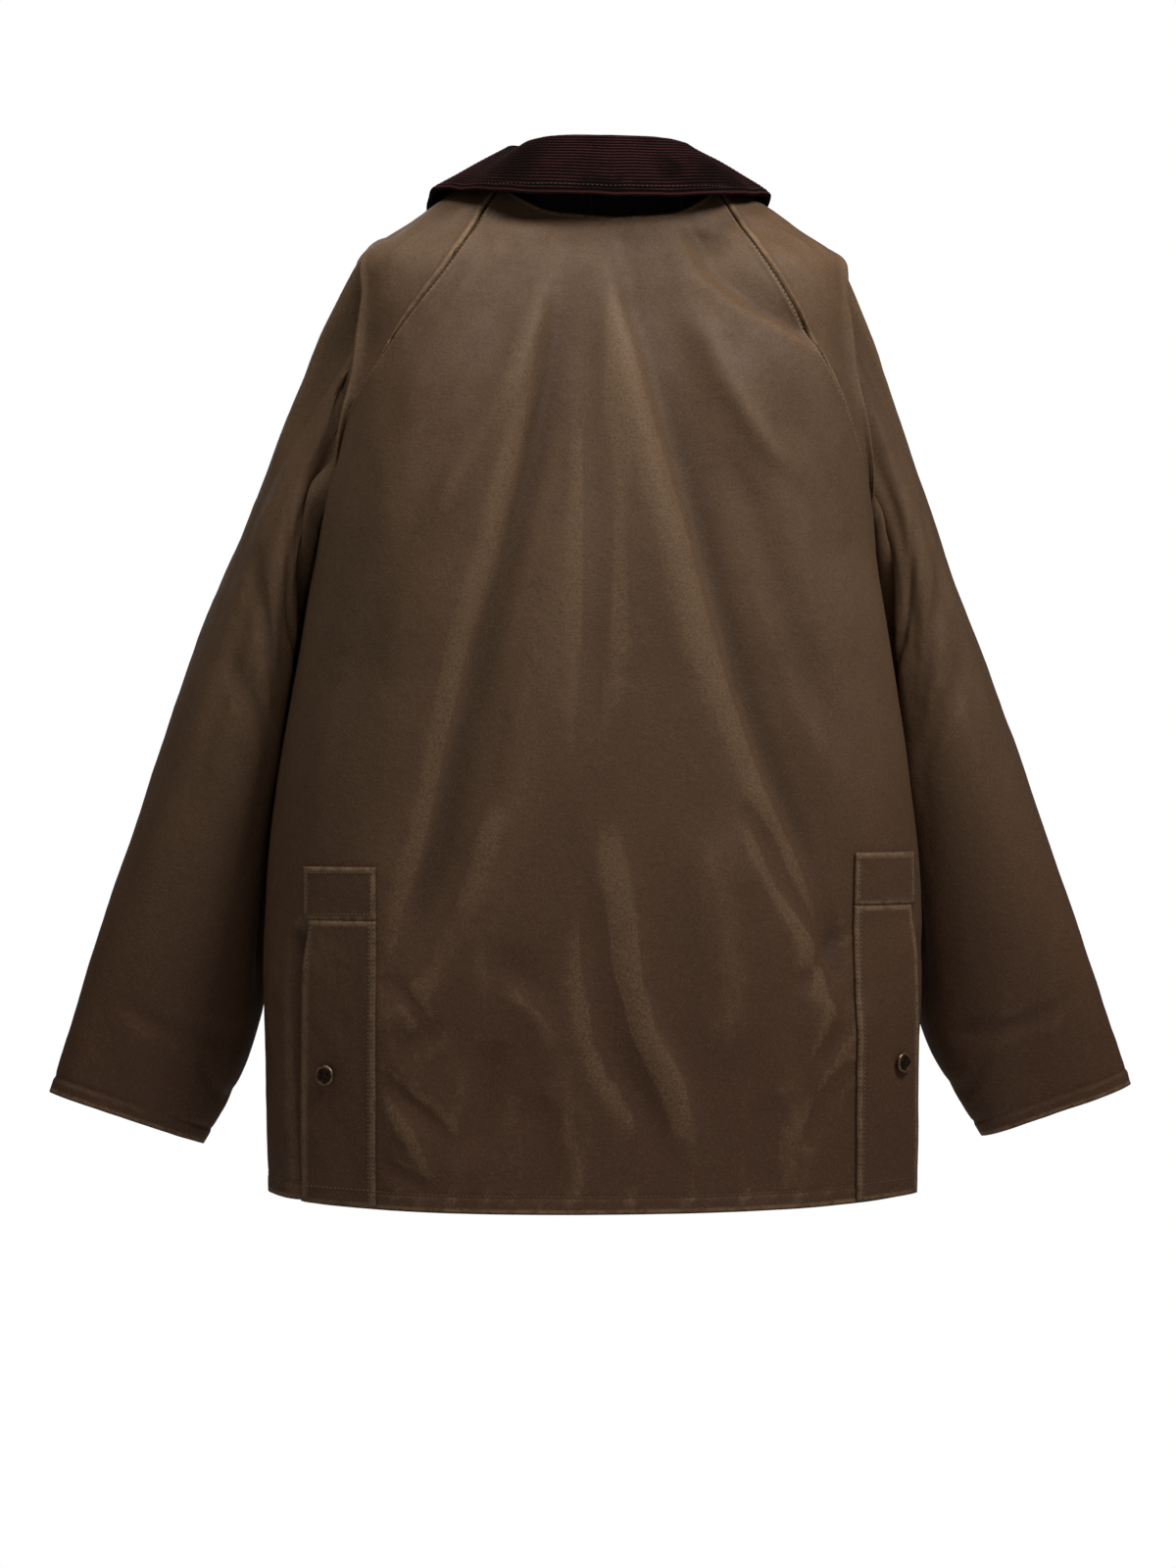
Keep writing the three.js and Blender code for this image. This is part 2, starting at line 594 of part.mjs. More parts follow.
// How far out of a section of the body a point is: 1 on its surface and more outside it.
function outOfBody(p, clearance) {
  const middle = read(torso, 'z', p.z, 'middle');
  const square = read(torso, 'z', p.z, 'square');
  const width = read(torso, 'z', p.z, 'width') + clearance;
  const side = p.y >= middle ? 'back' : 'front';
  const reach = Math.abs(read(torso, 'z', p.z, side) - middle) + clearance;
  const across = Math.abs((p.x - leanAt(p.z)) / width) ** square;
  const through = Math.abs((p.y - middle) / reach) ** square;
  return (across + through) ** (1 / square);
}

// Moves a point of the sleeve out of the body, which it hangs beside.
function clearOfBody(p, clearance) {
  const share = outOfBody(p, clearance);
  if (p.z > UNDERARM + UNDERARM_FOLD || share >= 1) return p;
  const middle = read(torso, 'z', p.z, 'middle');
  const lean = leanAt(p.z);
  return new THREE.Vector3(lean + (p.x - lean) / share, middle + (p.y - middle) / share, p.z);
}

// A ring of the sleeve proper: along is the row of sleeveSections, with fractions between rows.
function sleeveRing(along, side) {
  const rows = sleeveSections.map((row, k) => ({ ...row, k }));
  const value = (column) => read(rows, 'k', along, column);
  const out = new THREE.Vector3(value('outX'), value('outY'), value('outZ'));
  const inn = new THREE.Vector3(value('inX'), value('inY'), value('inZ'));
  const centre = out.clone().add(inn).multiplyScalar(0.5);
  const half = out.clone().sub(inn).multiplyScalar(0.5);
  const thick = new THREE.Vector3(0, 1, 0);
  thick.addScaledVector(half, -half.dot(thick) / half.lengthSq()).normalize();
  const down = along / (sleeveSections.length - 1);
  const ring = [];
  for (let j = 0; j < LOOP; j += 1) {
    const round = j / LOOP;
    const angle = 2 * Math.PI * round;
    const fold = sleeveFolds.reduce((sum, row) => {
      const across = (round - lerp(row.from, row.to, down)) / row.half;
      const ends = smooth((down - row.start) / 0.12) * smooth((row.stop - down) / 0.3);
      return sum + row.depth * Math.exp(-across * across) * ends;
    }, 0);
    const p = centre
      .clone()
      .addScaledVector(half, power(Math.cos(angle), 2 / SLEEVE_SQUARE))
      .addScaledVector(thick, (value('half') - fold) * power(Math.sin(angle), 2 / SLEEVE_SQUARE));
    p.x = side * p.x + leanAt(p.z) + SLEEVE_SWING * down;
    ring.push(clearOfBody(p, SLEEVE_CLEARANCE * clamp(along, 0.2, 1)));
  }
  return ring;
}

// Eases the cloth of a sleeve between its seam and its cuff, most at the underarm where it folds back on
// itself.
function eased(points, share) {
  const last = points.length - 1;
  return points.map((ring, i) =>
    ring.map((p, j) => {
      if (i === 0 || i === last) return p;
      const around = [ring[(j + 1) % LOOP], ring[(j + LOOP - 1) % LOOP], points[i - 1][j], points[i + 1][j]];
      const middle = around.reduce((sum, q) => sum.add(q), new THREE.Vector3()).multiplyScalar(0.25);
      const under = 1 - Math.abs((2 * j) / LOOP - 1);
      const free = smooth((under - 0.25) / 0.45) * (1 - smooth((i - EASED_ROWS) / EASED_ROWS));
      return clearOfBody(p.clone().lerp(middle, share * free), SLEEVE_TOUCH);
    }));
}

function sleeveSolid(side) {
  let points = [];
  for (let i = 0; i <= CAP_STEPS; i += 1) {
    points.push(Array.from({ length: LOOP }, (_, j) => {
      const { turn, z, lift } = capPlace(j, i / CAP_STEPS);
      return bodyPoint(side * turn, z).addScaledVector(bodyNormal(side * turn, z), lift);
    }));
  }
  const last = sleeveSections.length - 1;
  for (let i = 0; i <= last * SLEEVE_STEPS_PER_SECTION; i += 1) {
    points.push(sleeveRing(i / SLEEVE_STEPS_PER_SECTION, side));
  }
  for (let k = 0; k < EASE_TIMES; k += 1) points = eased(points, EASE_SHARE);
  const outermost = { row: points.length - 1, column: 0, out: new THREE.Vector3(side, 0, 0) };
  const normals = softened(gridNormals(points, true, outermost));
  points[0].forEach((p, j) => {
    const onFront = j > LOOP / 2;
    const step = onFront ? LOOP - j : j;
    normals[0][j] = seamNormal(step, onFront, side);
    p.addScaledVector(intoSleeve(step, onFront, side), SEAM_GAP * 0.6);
  });
  return clothSolid(points, normals, SHELL, true);
}
add('sleeve_left', sleeveSolid(1), waxedCotton);
add('sleeve_right', sleeveSolid(-1), waxedCotton);

// Vents and fly
// The outer surface of a strip that lies on the body between two edges, and the directions out of it.
function strip({ xA, xB, top, bottom, above, onFront, rows, columns, lift = 0 }) {
  const points = [];
  const normals = [];
  for (let i = 0; i <= rows; i += 1) {
    const line = Array.from({ length: columns + 1 }, (_, j) => {
      const across = j / columns;
      const x = lerp(xA, xB, across);
      const z = lerp(bottom ?? hemHeight(turnAt(x, HEM_SIDE, onFront)) + HEM_TURN, top, i / rows);
      const turn = turnAt(x - leanAt(z), z, onFront);
      return { turn, z, height: above + STRIP + lift * across ** 2 * smooth((top - z) / PATCH_HEIGHT) };
    });
    points.push(line.map(({ turn, z, height }) => {
      return bodyPoint(turn, z).addScaledVector(bodyNormal(turn, z), height);
    }));
    normals.push(line.map(({ turn, z }) => bodyNormal(turn, z)));
  }
  return clothSolid(points, normals, STRIP);
}

function stud(x, z, onFront, above) {
  const turn = turnAt(x - leanAt(z), z, onFront);
  const normal = bodyNormal(turn, z);
  const cap = new THREE.CylinderGeometry(STUD_RADIUS * 0.86, STUD_RADIUS, STUD_HEIGHT, STUD_FACETS);
  cap.rotateX(Math.PI / 2);
  cap.applyQuaternion(new THREE.Quaternion().setFromUnitVectors(new THREE.Vector3(0, 0, 1), normal));
  const seat = bodyPoint(turn, z).addScaledVector(normal, above + STUD_GAP + STUD_HEIGHT / 2);
  cap.translate(seat.x, seat.y, seat.z);
  return cap;
}

Object.entries(vents).forEach(([word, { side, top, above, studX, studZ }]) => {
  const inner = side * (VENT_X - VENT_WIDTH / 2) + VENT_SLIDE;
  const outer = side * (VENT_X + VENT_WIDTH / 2) + VENT_SLIDE;
  const split = top - PATCH_HEIGHT;
  const shared = { xA: inner, above, onFront: false, columns: 4 };
  const flap = strip({ ...shared, xB: outer, top: split - SEAM_GAP, rows: 12, lift: STRIP_LIFT });
  const patch = strip({ ...shared, xB: outer + side * PATCH_OVERHANG, top, bottom: split, rows: 3 });
  const across = (studX - inner) / (outer - inner) + (STUD_TIP * STUD_RADIUS) / VENT_WIDTH;
  add(`vent_strip_${word}`, flap, waxedCottonTrim);
  add(`vent_patch_${word}`, patch, waxedCottonTrim);
  add(`vent_stud_${word}`, stud(studX, studZ, false, above + STRIP + STRIP_LIFT * across ** 2), agedBrass);
});

add('fly', strip({
  xA: FLY_RIGHT, xB: FLY_LEFT, top: FLY_TOP, above: FLY_ABOVE, onFront: true, rows: 24, columns: 6,
}), waxedCottonTrim);
for (let k = 0; k < FLY_STUDS; k += 1) {
  const height = FLY_STUD_TOP - k * FLY_STUD_PITCH;
  add(`fly_stud_${k + 1}`, stud(FLY_STUD_X, height, true, FLY_ABOVE + STRIP), agedBrass);
}

// Collar
// The height of the body's surface above a place seen from the top.
function surfaceHeight(x, y) {
  let low = UNDERARM;
  let high = torso[torso.length - 1].z;
  for (let k = 0; k < 20; k += 1) {
    const z = (low + high) / 2;
    if (outOfBody(new THREE.Vector3(x, y, z), 0) < 1) low = z;
    else high = z;
  }
  return low;
}

// The line through the middle of the collar's two layers at a turn, from the neck seam over the roll to
// the edge.
function collarLine(turn) {
  const side = Math.abs(turn);
  const value = (column) => read(collarRows, 'turn', side, column);
  const neck = bodyPoint(turn, read(neckline, 'turn', side, 'z'));
  const out = new THREE.Vector3(neck.x - leanAt(neck.z), neck.y - COLLAR_MIDDLE, 0).normalize();
  const roll = neck.clone().addScaledVector(out, -value('inward'));
  roll.z += value('rise') - COLLAR_ROLL;
  const at = (base, across, up) => base.clone().addScaledVector(out, across).add(new THREE.Vector3(0, 0, up));
  const start = at(neck, -SHELL / 2, COLLAR_SEAM);
  const line = STAND_SHARES.map((t) => at(start.clone().lerp(roll, t), 0, 0));
  ROLL_ANGLES.map(radians).forEach((angle) =>
    line.push(at(roll, COLLAR_ROLL * (1 + Math.cos(angle)), COLLAR_ROLL * Math.sin(angle))));
  const edge = at(roll, COLLAR_ROLL + value('out'), -value('down') + COLLAR_ROLL);
  const last = line[line.length - 1];
  LEAF_SHARES.forEach((t) => {
    const p = last.clone().lerp(edge, t).addScaledVector(out, COLLAR_BULGE * Math.sin(Math.PI * t));
    p.z = Math.max(p.z, surfaceHeight(p.x, p.y) + COLLAR_REST);
    line.push(p);
  });
  return line;
}

function collarLayer(from, thickness) {
  const columns = Array.from({ length: COLLAR_COLUMNS + 1 }, (_, j) => j / COLLAR_COLUMNS);
  const turns = columns.map((share) => lerp(-COLLAR_END_TURN, COLLAR_END_TURN, share));
  const lines = turns.map(collarLine);
  const rows = lines[0].map((_, i) => lines.map((line) => line[i]));
  const nape = { row: 0, column: COLLAR_COLUMNS / 2, out: new THREE.Vector3(0, -1, 0) };
  const normals = gridNormals(rows, false, nape);
  const outer = rows.map((row, i) =>
    row.map((p, j) => p.clone().addScaledVector(normals[i][j], from + thickness)));
  return clothSolid(outer, normals, thickness);
}
add('collar_top', collarLayer(COLLAR_LAYER_GAP / 2, CORDUROY), corduroy);
add('collar_under', collarLayer(-COLLAR_LAYER_GAP / 2 - UNDERCOLLAR, UNDERCOLLAR), darkCloth);

export default jacket;
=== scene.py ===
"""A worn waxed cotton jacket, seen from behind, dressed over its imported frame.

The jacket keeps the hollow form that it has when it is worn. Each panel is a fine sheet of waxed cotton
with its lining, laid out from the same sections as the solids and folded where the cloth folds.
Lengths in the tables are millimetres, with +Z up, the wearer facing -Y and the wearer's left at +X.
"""

import logging
import math
from dataclasses import dataclass, field
from enum import Enum
from typing import Sequence

import bpy
import numpy as np
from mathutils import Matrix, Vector, kdtree, noise
from mathutils.bvhtree import BVHTree


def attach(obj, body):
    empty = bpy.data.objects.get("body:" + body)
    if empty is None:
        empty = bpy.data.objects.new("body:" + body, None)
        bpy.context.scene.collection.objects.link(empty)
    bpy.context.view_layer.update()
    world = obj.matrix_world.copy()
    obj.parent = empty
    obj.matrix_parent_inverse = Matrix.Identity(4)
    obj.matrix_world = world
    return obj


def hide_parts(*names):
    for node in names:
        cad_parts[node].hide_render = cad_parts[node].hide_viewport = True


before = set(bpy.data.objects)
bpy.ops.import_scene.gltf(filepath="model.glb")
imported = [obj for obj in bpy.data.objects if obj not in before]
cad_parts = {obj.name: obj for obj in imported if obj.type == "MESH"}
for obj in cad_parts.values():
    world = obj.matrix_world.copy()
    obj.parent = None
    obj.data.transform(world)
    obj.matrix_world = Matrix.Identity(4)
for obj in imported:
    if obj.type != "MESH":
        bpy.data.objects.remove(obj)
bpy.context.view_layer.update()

log = logging.getLogger("jacket")
MM = 0.001
Array = np.ndarray


# Reading the tables of sizes
def read_curve(keys: Sequence[float], values: Sequence[float], at: Array) -> Array:
    """Reads a column of a table with a curve that never overshoots its rows.

    Args:
        keys: the rows' places, rising or falling.
        values: the column's values in those rows.
        at: the places to read.

    Returns:
        The values at those places.
    """
    x, y = np.asarray(keys, float), np.asarray(values, float)
    if x[0] > x[-1]:
        x, y = x[::-1], y[::-1]
    slope = np.diff(y) / np.diff(x)
    tangent = np.empty_like(y)
    tangent[0], tangent[-1] = slope[0], slope[-1]
    before, after = slope[:-1], slope[1:]
    with np.errstate(divide="ignore", invalid="ignore"):
        mean = 2 * before * after / (before + after)
    tangent[1:-1] = np.where(before * after <= 0, 0.0, np.nan_to_num(mean))
    t = np.clip(np.asarray(at, float), x[0], x[-1])
    i = np.clip(np.searchsorted(x, t, side="right") - 1, 0, len(x) - 2)
    h = x[i + 1] - x[i]
    s = (t - x[i]) / h
    return (
        y[i] * (1 + 2 * s) * (1 - s) ** 2
        + h * tangent[i] * s * (1 - s) ** 2
        + y[i + 1] * s * s * (3 - 2 * s)
        + h * tangent[i + 1] * s * s * (s - 1)
    )


def smooth(t: Array) -> Array:
    """An eased step from 0 to 1 as t goes from 0 to 1."""
    c = np.clip(t, 0, 1)
    return c * c * (3 - 2 * c)


def signed_power(value: Array, exponent: Array) -> Array:
    """A power that keeps the sign of the value."""
    return np.sign(value) * np.abs(value) ** exponent


def unit(v: Array) -> Array:
    """Vectors of length one, along the last axis."""
    return v / np.maximum(np.linalg.norm(v, axis=-1, keepdims=True), 1e-9)


@dataclass(frozen=True)
class Table:
    """Rows of sizes with named columns, read between the rows by the first column."""

    columns: tuple[str, ...]
    rows: tuple[tuple[float, ...], ...]

    def read(self, column: str, at: Array) -> Array:
        """The named column at those values of the first column."""
        k = self.columns.index(column)
        return read_curve([r[0] for r in self.rows], [r[k] for r in self.rows], at)


@dataclass(frozen=True)
class Fold:
    """A soft trough (depth above 0) or ridge (below 0) along a line in the cloth, in millimetres."""

    line: tuple[tuple[float, float], ...]
    half: float
    depth: float
    skew: float = 0.0
    fade: float = 0.25
    across: bool = False

    def depth_at(self, x: Array, z: Array) -> Array:
        """How deep the fold is at places x across and z up."""
        run, side = (x, z) if self.across else (z, x)
        k = 0 if self.across else 1
        keys = [p[k] for p in self.line]
        low, high = min(keys), max(keys)
        line = read_curve(keys, [p[1 - k] for p in self.line], run)
        q = np.clip((run - low) / (high - low), 0, 1)
        a = (side - line) / self.half
        a = a * (1 + self.skew * np.tanh(2 * a))
        ends = smooth(q / self.fade) * smooth((1 - q) / self.fade)
        return self.depth * np.exp(-a * a) * ends


@dataclass(frozen=True)
class Crinkle:
    """Fine creasing of the waxed cloth from layered noise, stretched along the folds."""

    height: float
    size: float
    stretch: float
    seed: float
    sharp: bool = False

    def at(self, points: Array, weight: Array) -> Array:
        """The relief at an array of points, scaled by a weight for each."""
        flat = points.reshape(-1, 3)
        w = weight.reshape(-1)
        out = np.zeros(len(flat))
        for k in np.nonzero(np.abs(w) > 0.02)[0]:
            p = flat[k]
            v = Vector((p[0] / self.size + self.seed, p[1] / self.size, p[2] / (self.size * self.stretch)))
            n = noise.noise(v) + 0.5 * noise.noise(v * 2.1)
            out[k] = (0.35 - abs(n)) if self.sharp else n
        return (out * w * self.height).reshape(points.shape[:-1])


# The form that the cloth lies on
class Side(Enum):
    """Which half of the body a place is on."""

    BACK = "back"
    FRONT = "front"


TORSO = Table(
    ("z", "width", "back", "front", "middle", "square"),
    (
        (-760, 244, 130, -112, 5, 2.35),
        (-720, 245, 130, -112, 5, 2.35),
        (-640, 248, 132, -114, 5, 2.35),
        (-567, 250, 134, -116, 5, 2.35),
        (-500, 247, 136, -118, 5, 2.35),
        (-427, 240, 138, -121, 4, 2.35),
        (-350, 229, 140, -125, 4, 2.35),
        (-300, 220, 140, -127, 5, 2.5),
        (-250, 212, 139, -127, 6, 2.62),
        (-215, 207, 137, -125, 8, 2.7),
        (-170, 201, 133, -120, 10, 2.72),
        (-130, 195, 128, -110, 11, 2.66),
        (-95, 190, 120, -99, 12, 2.55),
        (-60, 187, 108, -82, 14, 2.42),
        (-35, 185, 96, -70, 15, 2.3),
        (-21, 179, 88, -66, 15, 2.2),
        (-12, 165, 84, -63, 15, 2.1),
        (0, 147, 78, -60, 15, 1.78),
        (17, 123, 74, -54, 15, 1.7),
        (28, 104, 70, -50, 15, 1.68),
        (40, 82, 62, -40, 15, 1.65),
        (60, 60, 52, -30, 15, 1.6),
    ),
)
NECKLINE = Table(
    ("turn", "z"),
    ((0, 0), (20, 4), (37, 16), (53, 28), (72, 37), (90, 40), (110, 36), (128, 26), (157, -18), (180, -48)),
)
RAGLAN = ((80, 28), (120, -40), (173, -116), (212, -250))
SEAM_SHIFT = Table(
    ("share", "left", "right"),
    ((0, 0, 0), (0.3, 5, 0), (0.5, 14, 1), (0.7, 19, 5), (0.85, 15, 5), (1, 0, 0)),
)
SLEEVE_SECTIONS = Table(
    ("k", "outX", "outY", "outZ", "inX", "inY", "inZ", "half"),
    (
        (0, 208, 3, -76, 219, -8, -266, 50),
        (1, 236, -6, -150, 217, -20, -288, 59),
        (2, 265, -13, -225, 216, -30, -318, 64),
        (3, 295, -20, -305, 215, -42, -364, 65),
        (4, 324, -27, -385, 221, -52, -426, 62),
        (5, 353, -34, -465, 231, -60, -504, 55),
        (6, 386, -42, -560, 251, -65, -600, 42),
        (7, 401, -46, -606, 273, -63, -648, 33),
        (8, 416, -50, -652, 301, -60, -692, 23),
    ),
)
COLLAR_ROWS = Table(
    ("turn", "inward", "rise", "out", "down"),
    (
        (0, 25, 61, 39, 48),
        (20, 26, 57, 41, 46),
        (40, 27, 41, 42, 41),
        (65, 22, 21, 50, 34),
        (90, 18, 18, 58, 34),
        (128, 13, 22, 56, 46),
        (157, 7, 22, 50, 60),
        (174, 3, 16, 46, 72),
    ),
)

# Folds of the back, by place across (towards the wearer's left) and height
BACK_FOLDS = (
    Fold(((-12, 4), (-15, -53), (-26, -111), (-42, -167), (-57, -215), (-74, -270), (-92, -334), (-111, -389),
          (-132, -437), (-154, -485), (-167, -525), (-176, -600)), 22, 14.0, 0.5, 0.14),
    Fold(((30, 2), (36, -46), (44, -95), (53, -144), (67, -208), (80, -263), (96, -318), (106, -366),
          (116, -413), (128, -468), (140, -508), (146, -545), (160, -600)), 19, 12.5, 0.4, 0.2),
    Fold(((-96, -425), (-105, -445), (-128, -493), (-158, -541), (-176, -600)), 12, 5.5, 0.3),
    Fold(((-58, 4), (-64, -10), (-76, -39), (-103, -64), (-137, -83), (-172, -103)), 17, 11.5, 0.4, 0.2),
    Fold(((-124, -100), (-144, -173), (-172, -236), (-186, -300)), 24, 9.0, 0.0, 0.3),
    Fold(((-50, -53), (-77, -118), (-118, -174), (-153, -213)), 14, -4.5),
    Fold(((59, -10), (64, -29), (87, -79), (130, -159), (152, -215)), 13, 5.0, 0.2),
    Fold(((44, -20), (52, -37), (70, -95), (93, -152), (122, -207), (140, -260)), 12, -3.6),
    Fold(((70, -4), (81, -20), (114, -62), (145, -119), (160, -170)), 10, -3.0),
    Fold(((94, -2), (109, -41), (122, -76)), 9, -2.2, 0.0, 0.4),
    Fold(((160, -66), (168, -90), (178, -118)), 9, 5.5, 0.0, 0.45),
    Fold(((142, -44), (150, -72), (158, -98)), 7, 3.0, 0.0, 0.45),
    Fold(((62, -60), (78, -150), (108, -290), (138, -420)), 14, -3.0),
    Fold(((16, -30), (19, -136), (16, -239), (17, -334), (28, -420)), 9, 2.8),
    Fold(((-4, -40), (-22, -150), (-52, -300), (-84, -410)), 20, -3.5),
    Fold(((-78, -150), (-112, -250), (-146, -340), (-190, -420)), 16, 4.5, 0.2),
    Fold(((96, -60), (150, -200), (182, -340)), 26, -3.6),
    Fold(((128, -150), (160, -260), (186, -350), (206, -430)), 15, 4.0),
    Fold(((8, -430), (6, -453), (-2, -532), (-18, -595), (-43, -643), (-60, -710)), 14, -3.4),
    Fold(((13, -470), (11, -548), (0, -611), (-23, -659), (-42, -710)), 12, 3.4, 0.0, 0.3),
    Fold(((85, -421), (105, -484), (132, -555), (174, -611)), 16, -3.2),
    Fold(((92, -566), (64, -582), (34, -612)), 13, -1.5, 0.3, 0.4, True),
    Fold(((104, -546), (76, -554), (44, -572)), 15, 1.8, 0.0, 0.4, True),
    Fold(((172, -650), (150, -676), (128, -712)), 11, -2.0, 0.2, 0.4, True),
    Fold(((164, -616), (144, -606), (120, -592)), 9, 2.4, 0.0, 0.4, True),
    Fold(((176, -630), (146, -652), (112, -684)), 8, 2.8, 0.3, 0.4, True),
    Fold(((174, -560), (150, -574), (132, -600)), 8, 2.4, 0.3, 0.4, True),
    Fold(((176, -690), (150, -706), (120, -716)), 7, 2.0, 0.3, 0.4, True),
    Fold(((-190, -560), (-172, -590), (-152, -640)), 9, 3.0, 0.2),
    Fold(((-190, -618), (-166, -640), (-142, -690)), 8, 2.8, 0.2),
    Fold(((-190, -520), (-160, -538), (-136, -576)), 8, 2.4, 0.0),
    Fold(((-190, -584), (-170, -606), (-148, -622)), 7, 2.2, 0.0, 0.4, True),
    Fold(((112, -700), (96, -650), (88, -600)), 14, 2.6),
    Fold(((60, -735), (52, -690), (56, -640)), 14, 2.2),
    Fold(((-110, -735), (-112, -690), (-122, -640)), 13, 2.6),
    Fold(((30, -400), (44, -500), (74, -610), (90, -735)), 30, 3.6, 0.0, 0.3),
    Fold(((-60, -430), (-80, -540), (-88, -640)), 24, -3.0),
    Fold(((225.5, -520), (226.5, -620), (225.5, -740)), 5.0, 16.0, 0.0, 0.07),
    Fold(((-243, -520), (-245, -620), (-244, -735)), 5.5, 5.0, 0.0, 0.12),
)
# Folds of the fronts, the same on both sides: the place across is the distance from the centre front
FRONT_FOLDS = (
    Fold(((60, -60), (92, -200), (124, -380), (156, -580)), 17, 6.5, 0.25),
    Fold(((96, -30), (132, -120), (170, -230)), 15, 6.0, 0.2),
    Fold(((40, -140), (62, -380), (88, -735)), 22, -4.5),
    Fold(((112, -450), (140, -580), (170, -735)), 19, 5.0, 0.2),
    Fold(((150, -120), (168, -200), (186, -290)), 13, 4.5),
    Fold(((200, -290), (214, -400), (216, -520)), 15, 3.5),
    Fold(((64, -520), (70, -640), (60, -735)), 15, 3.0),
    Fold(((30, -90), (44, -180), (80, -260)), 12, 3.0),
    Fold(((190, -600), (160, -620), (128, -660)), 9, 2.8, 0.2, 0.35, True),
)
CRINKLES = (
    Crinkle(1.7, 52.0, 2.6, 3.7),
    Crinkle(0.42, 19.0, 2.0, 11.3, True),
    Crinkle(0.12, 7.0, 1.4, 23.1),
)

HEM_BACK, HEM_SIDE, HEM_FRONT = -733.0, -723.0, -726.0
UNDERARM, SHOULDER_CORNER = -250.0, -21.0
LEAN, LEAN_FROM, SLEEVE_SWING = -5.0, -330.0, -9.0
SIDE_SEAM_TURN = 101.0
ROWS_BELOW, LOOP, NECK_STEPS = 13, 28, 2
ROWS_ABOVE = LOOP // 2 - NECK_STEPS
NECK_TURN = {Side.BACK: 53.0, Side.FRONT: 128.0}
UNDERARM_SHARE, UNDERARM_FOLD, CREASE_TURN = 0.7, 6.0, 15.0
SEAM_GAP = 0.3


def lean_at(z: Array) -> Array:
    """How far the neck and shoulders stand to the wearer's left at a height."""
    return LEAN * smooth((np.asarray(z, float) - LEAN_FROM) / -LEAN_FROM)


@dataclass(frozen=True)
class BodyForm:
    """The surface of the cloth round the trunk, by turn from the centre back and height."""

    sections: Table = TORSO
    folds: tuple[Fold, ...] = BACK_FOLDS
    front_folds: tuple[Fold, ...] = FRONT_FOLDS

    def point(self, turn: Array, z: Array) -> Array:
        """Points of the folded surface, before its fine crinkles."""
        turn, z = np.broadcast_arrays(np.asarray(turn, float), np.asarray(z, float))
        square, middle = self.sections.read("square", z), self.sections.read("middle", z)
        side, fore = np.sin(np.radians(turn)), np.cos(np.radians(turn))
        back = self.sections.read("back", z) - middle
        front = middle - self.sections.read("front", z)
        reach = np.where(fore >= 0, back, front)
        x = self.sections.read("width", z) * signed_power(side, 2 / square)
        behind = sum(f.depth_at(x, z) for f in self.folds)
        before = sum(f.depth_at(np.abs(x), z) for f in self.front_folds)
        share = smooth(fore / 0.3 + 0.5)
        fold = behind * share + before * (1 - share)
        y = middle + (reach - fold * np.sqrt(np.abs(fore))) * signed_power(fore, 2 / square)
        edge = 1 - np.sqrt(np.abs(fore))
        x = x - np.sign(x) * fold * edge
        return np.stack([x + lean_at(z), y, z], -1)

    def normal(self, turn: Array, z: Array) -> Array:
        """Directions out of the folded surface."""
        step = 1.2
        across = self.point(turn + step, z) - self.point(turn - step, z)
        up = self.point(turn, z + step) - self.point(turn, z - step)
        return -unit(np.cross(across, up))

    def cloth(self, turn: Array, z: Array, above: Array = 0.0) -> tuple[Array, Array]:
        """Points of the crinkled cloth, lifted off it by a height, and the directions out of it."""
        p, n = self.point(turn, z), self.normal(turn, z)
        weight = np.ones(p.shape[:-1]) * crinkle_weight(p)
        relief = sum(c.at(p, weight) for c in CRINKLES)
        return p + n * (relief + above)[..., None], n

    def turn_at(self, x: Array, z: Array, side: Side) -> Array:
        """The turn at which the surface is x wide at a height."""
        share = np.clip(np.abs(x) / self.sections.read("width", z), 0, 1)
        turn = np.degrees(np.arcsin(share ** (self.sections.read("square", z) / 2)))
        return np.sign(x) * np.where(side is Side.FRONT, 180 - turn, turn)

    def out_of(self, p: Array, clearance: float) -> Array:
        """How far out of a section points are: 1 on the surface and more outside it."""
        z = p[..., 2]
        middle, square = self.sections.read("middle", z), self.sections.read("square", z)
        back, front = self.sections.read("back", z) - middle, middle - self.sections.read("front", z)
        reach = np.where(p[..., 1] >= middle, back, front) + clearance
        width = self.sections.read("width", z) + clearance
        aside, fore = (p[..., 0] - lean_at(z)) / width, (p[..., 1] - middle) / reach
        return (np.abs(aside) ** square + np.abs(fore) ** square) ** (1 / square)

    def clear(self, p: Array, clearance: float) -> Array:
        """Points of a sleeve, moved out of the trunk that it hangs beside."""
        share = np.maximum(self.out_of(p, clearance), 1e-6)
        middle, lean = self.sections.read("middle", p[..., 2]), lean_at(p[..., 2])
        out = p.copy()
        out[..., 0] = lean + (p[..., 0] - lean) / share
        out[..., 1] = middle + (p[..., 1] - middle) / share
        keep = (p[..., 2] > UNDERARM + UNDERARM_FOLD) | (share >= 1)
        return np.where(keep[..., None], p, out)

    def height_over(self, x: Array, y: Array) -> Array:
        """The height of the surface above places seen from the top."""
        low = np.full(np.shape(x), UNDERARM)
        high = np.full(np.shape(x), 60.0)
        for _ in range(22):
            z = (low + high) / 2
            inside = self.out_of(np.stack([x, y, z], -1), 0) < 1
            low, high = np.where(inside, z, low), np.where(inside, high, z)
        return low


